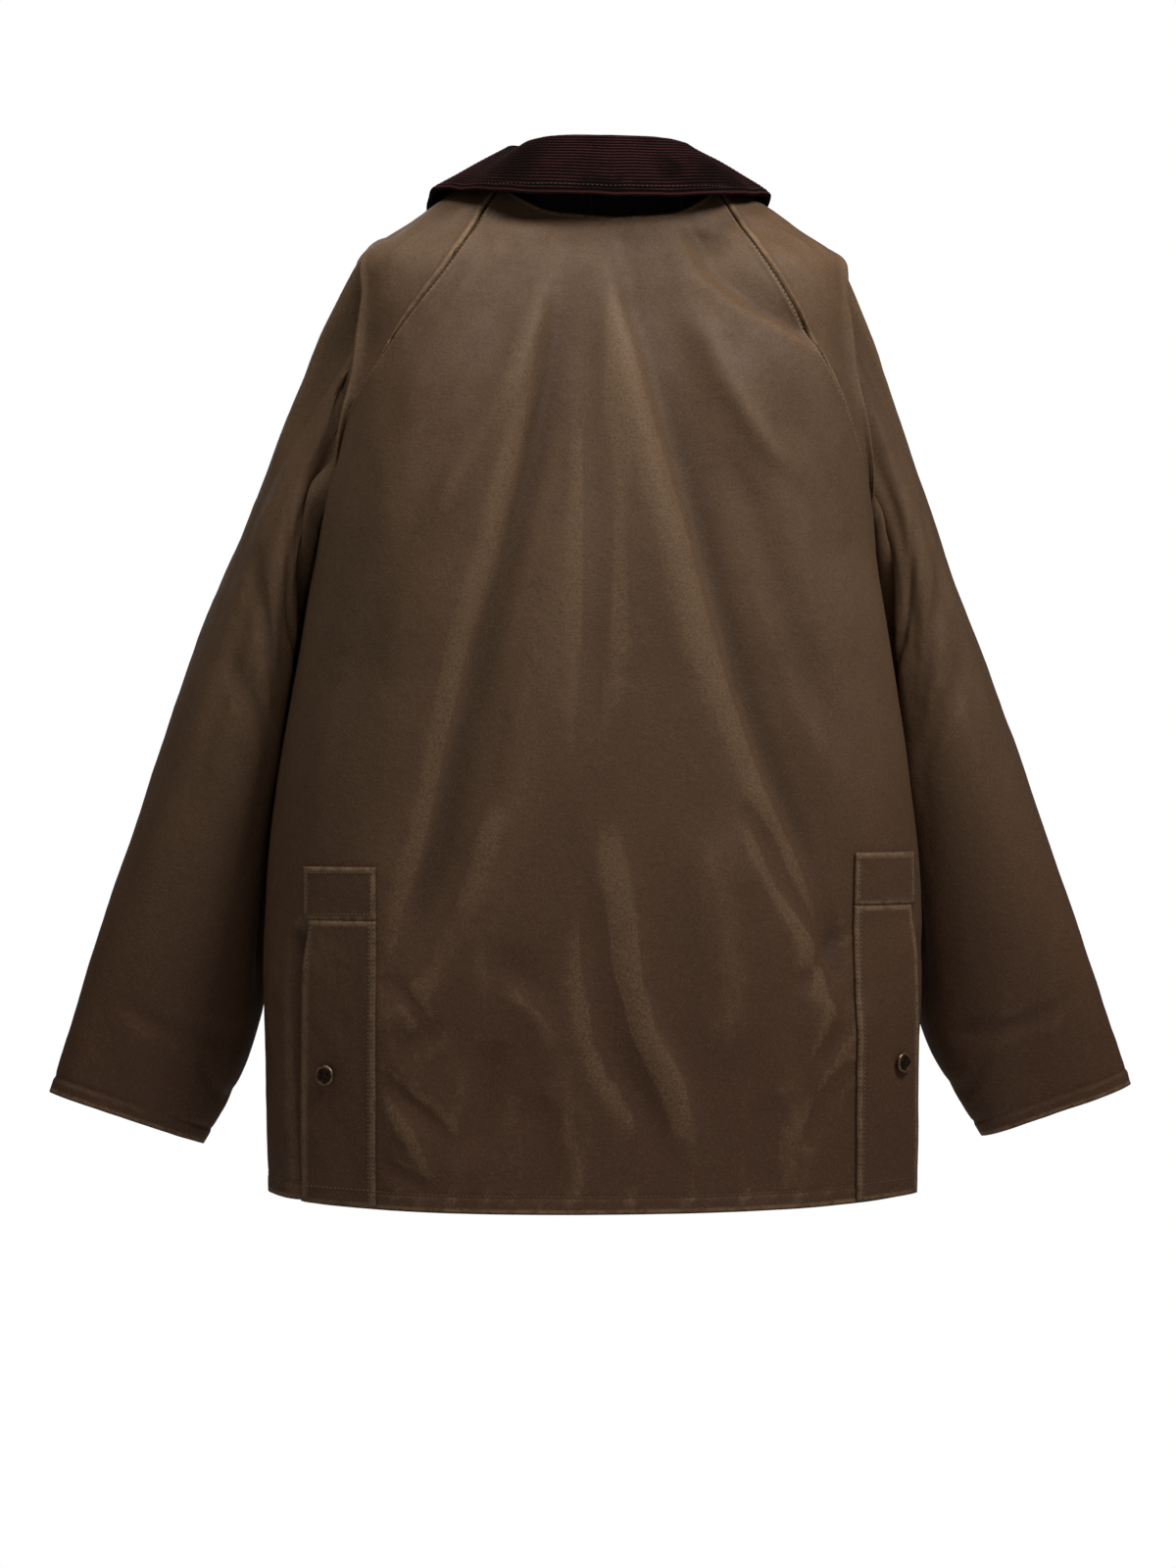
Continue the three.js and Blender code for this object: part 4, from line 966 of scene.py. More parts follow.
@dataclass(frozen=True)
class Studio:
    """The pale floor, the lights and the camera."""

    floor_height: float = -1.45
    floor_radius: float = 2.4

    def build(self) -> None:
        """Makes them all."""
        self._floor()
        self._world()
        self._light("key", (-0.92, 1.15, 1.2), (0.0, 0.0, -0.1), 0.65, 33.0)
        self._light("top", (0.45, 0.5, 1.35), (0.05, 0.0, -0.05), 0.7, 15.0)
        self._light("fill", (2.4, 2.6, 0.2), (0.0, 0.0, -0.4), 2.0, 3.0)
        self._light("front", (0.6, -2.6, 1.2), (0.0, 0.0, -0.3), 1.8, 14.0)
        self._camera()

    def _floor(self) -> None:
        """Lays the round pale floor."""
        mesh = bpy.data.meshes.new("studio_floor")
        ring = [
            (self.floor_radius * math.cos(t), self.floor_radius * math.sin(t), self.floor_height)
            for t in np.linspace(0, 2 * math.pi, 96, endpoint=False)
        ]
        mesh.from_pydata(ring, [], [list(range(96))])
        floor = bpy.data.objects.new("studio_floor", mesh)
        bpy.context.scene.collection.objects.link(floor)
        n = Nodes("pale floor")
        tone = n.mix(n.ramp(n.noise(0.5, 3), 0.3, 0.7), colour(0.8, 0.8, 0.79), colour(0.85, 0.85, 0.84))
        mesh.materials.append(n.surface(Base_Color=tone, Roughness=0.8))

    def _world(self) -> None:
        """Fills the surroundings with white that gives only a little light."""
        world = bpy.data.worlds.new("studio world")
        world.use_nodes = True
        tree = world.node_tree
        tree.nodes.clear()
        rays = tree.nodes.new("ShaderNodeLightPath")
        seen, soft = tree.nodes.new("ShaderNodeBackground"), tree.nodes.new("ShaderNodeBackground")
        seen.inputs["Color"].default_value = colour(1, 1, 1)
        seen.inputs["Strength"].default_value = 1.0
        soft.inputs["Color"].default_value = colour(1.0, 0.985, 0.96)
        soft.inputs["Strength"].default_value = 0.085
        mix, out = tree.nodes.new("ShaderNodeMixShader"), tree.nodes.new("ShaderNodeOutputWorld")
        tree.links.new(rays.outputs["Is Camera Ray"], mix.inputs[0])
        tree.links.new(soft.outputs[0], mix.inputs[1])
        tree.links.new(seen.outputs[0], mix.inputs[2])
        tree.links.new(mix.outputs[0], out.inputs["Surface"])
        bpy.context.scene.world = world

    def _light(self, name: str, at: Sequence[float], aim: Sequence[float], size: float, power: float) -> None:
        """Hangs a round soft light."""
        data = bpy.data.lights.new(name, "AREA")
        data.shape, data.size, data.energy = "DISK", size, power
        lamp = bpy.data.objects.new(name, data)
        lamp.location = at
        lamp.rotation_euler = (Vector(aim) - Vector(at)).to_track_quat("-Z", "Y").to_euler()
        bpy.context.scene.collection.objects.link(lamp)

    def _camera(self) -> None:
        """Sets up the camera where the photo was taken from."""
        data = bpy.data.cameras.new("photo camera")
        data.lens, data.sensor_width, data.clip_end = 109.46, 36.0, 50.0
        camera = bpy.data.objects.new("photo camera", data)
        camera.location = (0.4431, 3.5726, -0.4194)
        turn = math.radians(7)
        look = Vector((-math.sin(turn), -math.cos(turn), 0))
        camera.rotation_euler = look.to_track_quat("-Z", "Y").to_euler()
        bpy.context.scene.collection.objects.link(camera)
        bpy.context.scene.camera = camera
        bpy.context.scene.view_settings.view_transform = "Standard"


# Panels of the trunk
def graded(stops: Sequence[tuple[float, float]], end: float) -> Array:
    """Places from 0 to an end, with a step that holds from each stop on."""
    out, at = [], 0.0
    for k, (start, step) in enumerate(stops):
        stop = stops[k + 1][0] if k + 1 < len(stops) else end
        out += list(np.linspace(at, stop, max(int(round((stop - at) / step)), 1) + 1)[:-1])
        at = stop
    return np.array(out + [end])


@dataclass
class Wardrobe:
    """The finishes that the pieces share."""

    shell: bpy.types.Material
    trim: bpy.types.Material
    lining: bpy.types.Material
    undercollar: bpy.types.Material
    corduroy: bpy.types.Material
    brass: bpy.types.Material
    thread: bpy.types.Material
    seam_thread: bpy.types.Material
    collar_thread: bpy.types.Material

    @classmethod
    def filled(cls) -> "Wardrobe":
        """Makes every finish."""
        plain = (1.0, 1.0, 1.0)
        lines = ((0.034, 0.2, (0.05, 0.012, 0.012)), (0.026, 0.5, (0.045, 0.035, 0.02)))
        return cls(
            shell=WaxedCotton().build(),
            # The trim's painted shade at its edges is weaker than the shell's
            trim=WaxedCotton(
                "waxed cotton trim", (0.19, 0.116, 0.062), (0.1, 0.057, 0.031), (0.047, 0.025, 0.013), seam_shade=0.3
            ).build(),
            lining=LiningCloth("body lining").build(),
            undercollar=LiningCloth("undercollar cloth", (0.008, 0.0075, 0.0085), lines).build(),
            corduroy=Corduroy().build(),
            brass=AgedBrass().build(),
            thread=SewingThread("body thread", (0.155, 0.105, 0.062)).build(),
            seam_thread=SewingThread("seam thread", (0.03, 0.017, 0.009)).build(),
            collar_thread=SewingThread("collar thread", (0.03, 0.012, 0.012)).build(),
        )


@dataclass
class BackPanel:
    """The one-piece back, from side seam to side seam and up to the neckline between the raglan seams."""

    thickness: float = 2.0
    hem_stitch: float = 13.0
    flat: tuple[float, float] = (0.60, 0.75)
    centre_drop: float = 30.0

    def places(self, row: Array, across: Array) -> tuple[Array, Array]:
        """Turns and heights at rows from the hem up and places across, -1 to 1."""
        left, right = panel_edge(row, Side.BACK, 1), panel_edge(row, Side.BACK, -1)
        on_left = across[None] >= 0
        edge_turn = np.where(on_left, left[0][:, None], right[0][:, None])
        edge_z = np.where(on_left, left[1][:, None], right[1][:, None])
        whole = ROWS_BELOW + ROWS_ABOVE
        share = (row / whole)[:, None]
        top_of = UNDERARM + self.centre_drop
        centre = np.where(
            row <= ROWS_BELOW,
            HEM_BACK + (top_of - HEM_BACK) * row / ROWS_BELOW,
            top_of * (1 - (row - ROWS_BELOW) / ROWS_ABOVE),
        )[:, None]
        turn = across[None] * edge_turn
        body = centre + (edge_z - centre) * across[None] ** 2
        low = hem_height(turn) + centre - HEM_BACK
        top = NECKLINE.read("z", np.abs(across) * NECK_TURN[Side.BACK])[None] + centre
        z = body + (low - body) * smooth(1 - share * 4)
        z = z + (top - z) * smooth((share - 0.72) / 0.28)
        return turn, np.where(np.abs(across)[None] == 1, edge_z, z)

    def build(self, finishes: Wardrobe) -> bpy.types.Object:
        """Makes the back."""
        row = graded(((0, 0.045), (0.45, 0.13), (ROWS_BELOW, 0.12)), ROWS_BELOW + ROWS_ABOVE)
        half = 1 - graded(((0, 0.0022), (0.011, 0.0048), (0.05, 0.0145), (0.33, 0.0055), (0.41, 0.0145)), 1.0)
        across = np.concatenate([-half, half[::-1][1:]])
        turn, z = self.places(row, across)
        points, normals = BODY.cloth(turn, z)
        seams = [points[:, 0], points[:, -1], points[0], points[-1]]
        distance = seam_distance(points, seams)
        sewn = seam_distance(points, seams[:2])
        hem = np.linalg.norm(points - points[:1], axis=-1)
        relief = welt(sewn) * smooth((z + 736) / 8)
        relief = relief + 0.25 * smooth((self.hem_stitch - 1 - hem) / 2.5)
        relief = relief - 0.4 * np.exp(-(((hem - self.hem_stitch) / 1.2) ** 2))
        relief = relief + hem_pucker(points) * np.exp(-(((hem - 8) / 9) ** 2))
        points = points + normals * relief[..., None]
        for column, hand in ((0, -1), (-1, 1)):
            pull_in(points, normals, row, column, Side.BACK, hand)
        cloth = Cloth(points, normals, self.thickness, seam=distance)
        thing = cloth.build("back_panel")
        dress(thing, Slot.COTTON, finishes.shell, finishes.lining, node="back")
        log.info("back panel: %.3f square metres", cloth.area())
        return thing


def hem_pucker(points: Array) -> Array:
    """The slight roping of a turned hem."""
    x = points[..., 0] + 0.6 * points[..., 2]
    return 0.28 * np.sin(x / 3.4) + 0.22 * np.sin(x / 7.9 + 1.3)


def pull_in(points: Array, normals: Array, row: Array, column: int, side: Side, hand: int) -> None:
    """Moves a sewn edge in by half the seam's gap and gives it the seam's own direction of thickness."""
    step = LOOP / 2 - (row - ROWS_BELOW)
    above = row >= ROWS_BELOW
    step = np.clip(step, 0, LOOP / 2)
    inward = unit(points[:, 1 if column == 0 else -2] - points[:, column])
    inward[above] = -into_sleeve(step[above], side, hand)
    points[:, column] += inward * SEAM_GAP * 0.6
    normals[above, column] = seam_normal(step[above], side, hand)


@dataclass
class FrontPanel:
    """One front, from the side seam to the closing edge under the fly."""

    hand: int
    thickness: float = 2.0
    closing: float = 0.4
    hem_stitch: float = 13.0
    flat: tuple[float, float] = (0.33, 0.73)

    def places(self, row: Array, across: Array) -> tuple[Array, Array]:
        """Turns and heights at rows from the hem up and places from the side seam to the closing edge."""
        edge_turn, edge_z = panel_edge(row, Side.FRONT, self.hand)
        share = (row / (ROWS_BELOW + ROWS_ABOVE))[:, None]
        neck = float(NECKLINE.read("z", 180.0))
        centre = np.where(
            row <= ROWS_BELOW,
            HEM_FRONT + (UNDERARM - HEM_FRONT) * row / ROWS_BELOW,
            UNDERARM + (neck - UNDERARM) * (row - ROWS_BELOW) / ROWS_ABOVE,
        )
        last = BODY.turn_at(np.full_like(centre, self.closing), centre, Side.FRONT)[:, None]
        centre = centre[:, None]
        turn = edge_turn[:, None] + (last - edge_turn[:, None]) * across[None]
        body = edge_z[:, None] + (centre - edge_z[:, None]) * (smooth(across) * 0.4 + across * 0.6)[None]
        first = NECK_TURN[Side.FRONT]
        top = NECKLINE.read("z", first + (180 - first) * across)[None] + centre - neck
        low = hem_height(turn) + centre - HEM_FRONT
        z = body + (low - body) * smooth(1 - share * 4)
        z = z + (top - z) * smooth((share - 0.72) / 0.28)
        return self.hand * turn, np.where(across[None] == 0, edge_z[:, None], z)

    def build(self, finishes: Wardrobe) -> bpy.types.Object:
        """Makes the front."""
        word = "left" if self.hand > 0 else "right"
        row = graded(((0, 0.045), (0.45, 0.15), (ROWS_BELOW, 0.15)), ROWS_BELOW + ROWS_ABOVE)
        across = graded(((0, 0.004), (0.016, 0.008), (0.06, 0.018)), 1.0)
        turn, z = self.places(row, across)
        points, normals = BODY.cloth(turn, z)
        distance = seam_distance(points, [points[:, 0], points[0], points[-1]])
        sewn = seam_distance(points, [points[:, 0]])
        hem = np.linalg.norm(points - points[:1], axis=-1)
        relief = welt(sewn) + 0.5 * smooth((self.hem_stitch - 1 - hem) / 2.5)
        relief = relief + hem_pucker(points) * np.exp(-(((hem - 8) / 9) ** 2))
        points = points + normals * relief[..., None]
        pull_in(points, normals, row, 0, Side.FRONT, self.hand)
        cloth = Cloth(points, normals, self.thickness, seam=distance)
        thing = cloth.build(f"front_panel_{word}")
        dress(thing, Slot.COTTON, finishes.shell, finishes.lining, node=f"front_{word}")
        log.info("%s front: %.3f square metres", word, cloth.area())
        return thing


# Sleeves
@dataclass(frozen=True)
class SleeveFold:
    """A trough (depth above 0) or ridge along a sleeve: places round it (0 to 1) and down it (0 to 1)."""

    line: tuple[tuple[float, float], ...]
    half: float
    depth: float
    fade: float = 0.25
    across: bool = False

    def depth_at(self, ring: Array, down: Array) -> Array:
        """How deep the fold is at places round and down the sleeve."""
        run, side = (ring, down) if self.across else (down, ring)
        k = 0 if self.across else 1
        keys = [p[k] for p in self.line]
        line = read_curve(keys, [p[1 - k] for p in self.line], run)
        q = np.clip((run - min(keys)) / (max(keys) - min(keys)), 0, 1)
        a = (side - line) / self.half
        return self.depth * np.exp(-a * a) * smooth(q / self.fade) * smooth((1 - q) / self.fade)


COARSE_FOLDS = (
    (0.3, 0.36, 0.045, 0.05, 0.86, 7),
    (0.16, 0.13, 0.04, 0.0, 0.7, 4),
    (0.8, 0.76, 0.05, 0.05, 0.8, 6),
    (0.66, 0.64, 0.04, 0.0, 0.55, 4),
)
HEAD_CREASES = {1: (4.85, 22.0, 4.5), -1: (4.6, 19.0, 4.5)}
SLEEVE_FOLDS = (
    SleeveFold(((0.4, 0.3), (0.405, 0.45), (0.415, 0.6), (0.42, 0.84)), 0.038, 11.0, 0.2),
    SleeveFold(((0.24, 0.02), (0.22, 0.2), (0.25, 0.42), (0.3, 0.62)), 0.04, 3.0),
    SleeveFold(((0.12, 0.0), (0.1, 0.2), (0.12, 0.45), (0.15, 0.75)), 0.03, 1.8),
    SleeveFold(((0.06, 0.15), (0.04, 0.4), (0.05, 0.7)), 0.03, 1.4),
    SleeveFold(((0.04, 0.46), (0.16, 0.49), (0.3, 0.56)), 0.018, 3.0, 0.35, True),
    SleeveFold(((0.14, 0.40), (0.26, 0.44), (0.4, 0.52)), 0.016, 2.6, 0.35, True),
    SleeveFold(((0.08, 0.55), (0.2, 0.575), (0.33, 0.62)), 0.015, 2.2, 0.35, True),
    SleeveFold(((0.1, 0.83), (0.24, 0.86), (0.42, 0.85)), 0.013, 1.8, 0.35, True),
    SleeveFold(((0.3, 0.9), (0.42, 0.93), (0.56, 0.9)), 0.012, 1.6, 0.35, True),
    SleeveFold(((0.6, 0.45), (0.74, 0.49), (0.9, 0.47)), 0.02, 3.2, 0.35, True),
    SleeveFold(((0.66, 0.53), (0.78, 0.56), (0.93, 0.55)), 0.016, 2.4, 0.35, True),
    SleeveFold(((0.86, 0.05), (0.88, 0.3), (0.86, 0.6)), 0.026, 3.4),
    SleeveFold(((0.72, 0.1), (0.7, 0.35), (0.74, 0.7)), 0.022, 3.0),
)


@dataclass
class Sleeve:
    """One raglan sleeve: its head runs up to the neckline, and its tube hangs beside the trunk."""

    hand: int
    thickness: float = 2.0
    square: float = 2.25
    cap_steps: int = 5
    steps_per_section: int = 2
    ease_times: int = 12
    ease_share: float = 0.6
    eased_rows: int = 11
    clearance: float = 3.0
    touch: float = 0.8
    turned: float = 10.0
    cuff_stitch: float = 13.0
    flat: tuple[float, float] = (0.48, 0.78)
    round_fine: int = 6
    down_fine: int = 7
    held_rows: int = 14

    def cap(self, j: Array, share: Array) -> Array:
        """Points of the sleeve's head, between the raglan seam (0) and the crease at the shoulder (1)."""
        half = LOOP / 2
        front = j > half
        k = np.where(front, LOOP - j, j)
        back_seam, front_seam = seam_place(k, Side.BACK, self.hand), seam_place(k, Side.FRONT, self.hand)
        seam_turn = np.where(front, front_seam[0], back_seam[0])
        seam_z = np.where(front, front_seam[1], back_seam[1])
        sweep = np.sqrt(np.maximum(1 - (2 * k / half - 1) ** 2, 0))
        crease_turn = 90 + np.where(front, 1, -1) * CREASE_TURN * sweep
        crease_z = SHOULDER_CORNER + (UNDERARM + 0.5 - SHOULDER_CORNER) * (k / half) ** 1.15
        lift = UNDERARM_FOLD * share * smooth((k / half - UNDERARM_SHARE) / (1 - UNDERARM_SHARE))
        turn = seam_turn + (crease_turn - seam_turn) * share
        z = seam_z + (crease_z - seam_z) * share
        p = BODY.point(self.hand * turn, z)
        return p + BODY.normal(self.hand * turn, z) * lift[..., None]

    def ring(self, along: Array, j: Array) -> Array:
        """Points of the tube, at rows of the table of sections."""
        value = lambda column: SLEEVE_SECTIONS.read(column, along)
        out = np.stack([value("outX"), value("outY"), value("outZ")], -1)
        inn = np.stack([value("inX"), value("inY"), value("inZ")], -1)
        centre, half = (out + inn) / 2, (out - inn) / 2
        thick = np.zeros_like(half)
        thick[..., 1] = 1
        dot = half[..., 1] / np.sum(half * half, -1)
        thick = unit(thick - half * dot[..., None])
        down = along / (len(SLEEVE_SECTIONS.rows) - 1)
        place = j / LOOP
        angle = 2 * np.pi * place
        fold = sum(
            depth * np.exp(-(((place - (a + (b - a) * down)) / width) ** 2)) * smooth((down - start) / 0.12)
            * smooth((stop - down) / 0.3)
            for a, b, width, start, stop, depth in COARSE_FOLDS
        )
        p = centre + half * signed_power(np.cos(angle), 2 / self.square)[..., None]
        p = p + thick * ((value("half") - fold) * signed_power(np.sin(angle), 2 / self.square))[..., None]
        p[..., 0] = self.hand * p[..., 0] + lean_at(p[..., 2]) + SLEEVE_SWING * down
        room = self.clearance * np.clip(along[:, 0], 0.2, 1)
        return np.stack([BODY.clear(row, float(gap)) for row, gap in zip(p, room)])

    def coarse(self) -> Array:
        """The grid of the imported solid's outer face."""
        j = np.arange(LOOP)[None].astype(float)
        cap = np.linspace(0, 1, self.cap_steps + 1)[:, None]
        last = len(SLEEVE_SECTIONS.rows) - 1
        along = np.arange(0, last * self.steps_per_section + 1)[:, None] / self.steps_per_section
        jj, cc = np.broadcast_arrays(j, cap)
        top = self.cap(jj, cc)
        jj, aa = np.broadcast_arrays(j, along)
        points = np.concatenate([top, self.ring(aa, jj)])
        under = 1 - np.abs(2 * np.arange(LOOP) / LOOP - 1)
        rows = np.arange(len(points))[:, None]
        free = smooth((under - 0.25) / 0.45)[None] * (1 - smooth((rows - self.eased_rows) / self.eased_rows))
        free[[0, -1]] = 0
        for _ in range(self.ease_times):
            around = np.roll(points, 1, 1) + np.roll(points, -1, 1)
            around[1:-1] += points[:-2] + points[2:]
            mixed = points + (around / 4 - points) * (self.ease_share * free)[..., None]
            points = np.where(free[..., None] > 0, BODY.clear(mixed, self.touch), points)
        return points

    def fine(self) -> tuple[Array, Array, Array]:
        """The fine outer face, with places round and down it."""
        coarse = self.coarse()
        rows = np.linspace(0, len(coarse) - 1, (len(coarse) - 1) * self.down_fine + 1)
        near_seam = np.linspace(0, 0.7, 10)[:-1]
        near_cuff = len(coarse) - 1 - np.linspace(0.55, 0, 11)
        rows = np.concatenate([near_seam, rows[(rows >= 0.7) & (rows < near_cuff[0])], near_cuff])
        j = np.arange(LOOP * self.round_fine) / self.round_fine
        points = spline_rows(coarse, rows)
        points = np.swapaxes(spline_loop(np.swapaxes(points, 0, 1), j), 0, 1)
        front = j > LOOP / 2
        k = np.where(front, LOOP - j, j)
        back_seam, front_seam = seam_place(k, Side.BACK, self.hand), seam_place(k, Side.FRONT, self.hand)
        turn, z = np.where(front, front_seam[0], back_seam[0]), np.where(front, front_seam[1], back_seam[1])
        seam, _ = BODY.cloth(self.hand * turn, z)
        share = np.clip(1 - rows / 2.5, 0, 1)[:, None, None] ** 1.5
        points = points + (seam - points[0])[None] * share
        down = np.clip(rows / (len(coarse) - 1), 0, 1)
        outer = 0.5 + 0.5 * np.cos(2 * np.pi * j / LOOP)
        upper = smooth((down - 0.2) / 0.16) * smooth((0.85 - down) / 0.45)
        points[..., 1] -= self.turned * upper[:, None] * outer[None]
        shape = points.shape[:2]
        return points, np.broadcast_to(j / LOOP, shape), np.broadcast_to(down[:, None], shape)

    def head_fold(self, j: Array, row: Array) -> Array:
        """The crease where the sleeve drops behind its head: a crisp edge, a sharp drop, a slow return."""
        k = np.minimum(j, LOOP - j)
        window = smooth((k - 0.2) / 1.3) * smooth((12.5 - k) / 4.0)
        at, depth, ridge = HEAD_CREASES[self.hand]
        past = np.maximum(row - at, 0)
        drop = depth * smooth(past / 0.6) * np.exp(-((np.maximum(past - 0.6, 0) / 2.6) ** 2))
        return window * (drop - ridge * np.exp(-(((row - at) / 0.4) ** 2)))

    def build(self, finishes: Wardrobe) -> bpy.types.Object:
        """Makes the sleeve."""
        word = "left" if self.hand > 0 else "right"
        points, place, down = self.fine()
        out = np.array([self.hand, 0.0, 0.0])
        normals = unit(blurred(grid_normals(points, True, out, (len(points) - 12, 0)), True, 2))
        last = len(SLEEVE_SECTIONS.rows) - 1
        fold = sum(f.depth_at(place, down) for f in SLEEVE_FOLDS)
        weight = 0.8 + 0.5 * np.exp(-(((down - 0.5) / 0.16) ** 2)) + 0.4 * smooth((down - 0.8) / 0.15)
        near_seam = smooth(np.arange(len(points)) / self.held_rows)[:, None]
        fold = fold + self.head_fold(place * LOOP, down * (self.cap_steps + 1 + self.steps_per_section * last))
        relief = sum(c.at(points + 31.0 * self.hand, weight) for c in CRINKLES) * near_seam - fold * near_seam
        points = points + normals * relief[..., None]
        seam = seam_distance(points, [points[0], points[-1]])
        cuff = np.linalg.norm(points - points[-1:], axis=-1)
        ridge = 0.55 * smooth((self.cuff_stitch - 1 - cuff) / 2.5)
        ridge = ridge - 0.5 * np.exp(-(((cuff - self.cuff_stitch) / 1.3) ** 2))
        top = seam_distance(points, [points[0]])
        relief = welt(top) * 0.8 + ridge + hem_pucker(points) * np.exp(-(((cuff - 8) / 9) ** 2))
        points = points + normals * relief[..., None]
        normals = unit(blurred(grid_normals(points, True, out, (len(points) - 12, 0)), True, 1))
        rows = self.held_rows
        held = points[:rows].copy()
        points = nestled(points, self.touch)
        free = smooth(np.arange(rows) / (rows - 1))[:, None, None]
        points[:rows] = held + (points[:rows] - held) * free
        step = place[0] * LOOP
        front = step > LOOP / 2
        k = np.where(front, LOOP - step, step)
        into, out_of_seam = (
            np.where(front[:, None], along(k, Side.FRONT, self.hand), along(k, Side.BACK, self.hand))
            for along in (into_sleeve, seam_normal)
        )
        normals[0] = out_of_seam
        points[0] += into * SEAM_GAP * 0.6
        cloth = Cloth(points, normals, self.thickness, True, seam)
        thing = cloth.build(f"raglan_sleeve_{word}")
        dress(thing, Slot.COTTON, finishes.shell, finishes.lining, node=f"sleeve_{word}")
        log.info("%s sleeve: %.3f square metres", word, cloth.area())
        return thing


def nestled(points: Array, touch: float, reach: float = 15.0) -> Array:
    """Points of a sleeve, drawn in beside the trunk where they hang close to it."""
    share = np.maximum(BODY.out_of(points, 0), 1e-6)
    middle, lean = BODY.sections.read("middle", points[..., 2]), lean_at(points[..., 2])
    arm = np.stack([points[..., 0] - lean, points[..., 1] - middle], -1)
    apart = np.linalg.norm(arm, axis=-1) * (1 - 1 / share)
    inner = smooth((UNDERARM + 34 - points[..., 2]) / 18) * smooth((points[..., 2] + 520) / 120)
    wanted = touch + (apart - touch) * smooth(apart / reach)
    beside = np.where(apart < reach, wanted - apart, 0)
    move = np.where(apart <= touch, touch - apart, beside)
    out = points.copy()
    out[..., :2] += unit(arm) * (move * inner)[..., None]
    return out


def spline_rows(grid: Array, at: Array) -> Array:
    """Reads a grid between its rows with a smooth curve through them."""
    i = np.clip(at.astype(int), 0, len(grid) - 2)
    s = (at - i).reshape((-1,) + (1,) * (grid.ndim - 1))
    tangent = np.gradient(grid, axis=0)
    a, b, c, d = grid[i], grid[i + 1], tangent[i], tangent[i + 1]
    start = a * (1 + 2 * s) * (1 - s) ** 2 + c * s * (1 - s) ** 2
    return start + b * s * s * (3 - 2 * s) + d * s * s * (s - 1)


def spline_loop(grid: Array, at: Array) -> Array:
    """Reads a closed grid between its rows with a smooth curve through them."""
    around = np.concatenate([grid[-3:], grid, grid[:4]])
    return spline_rows(around, at + 3)


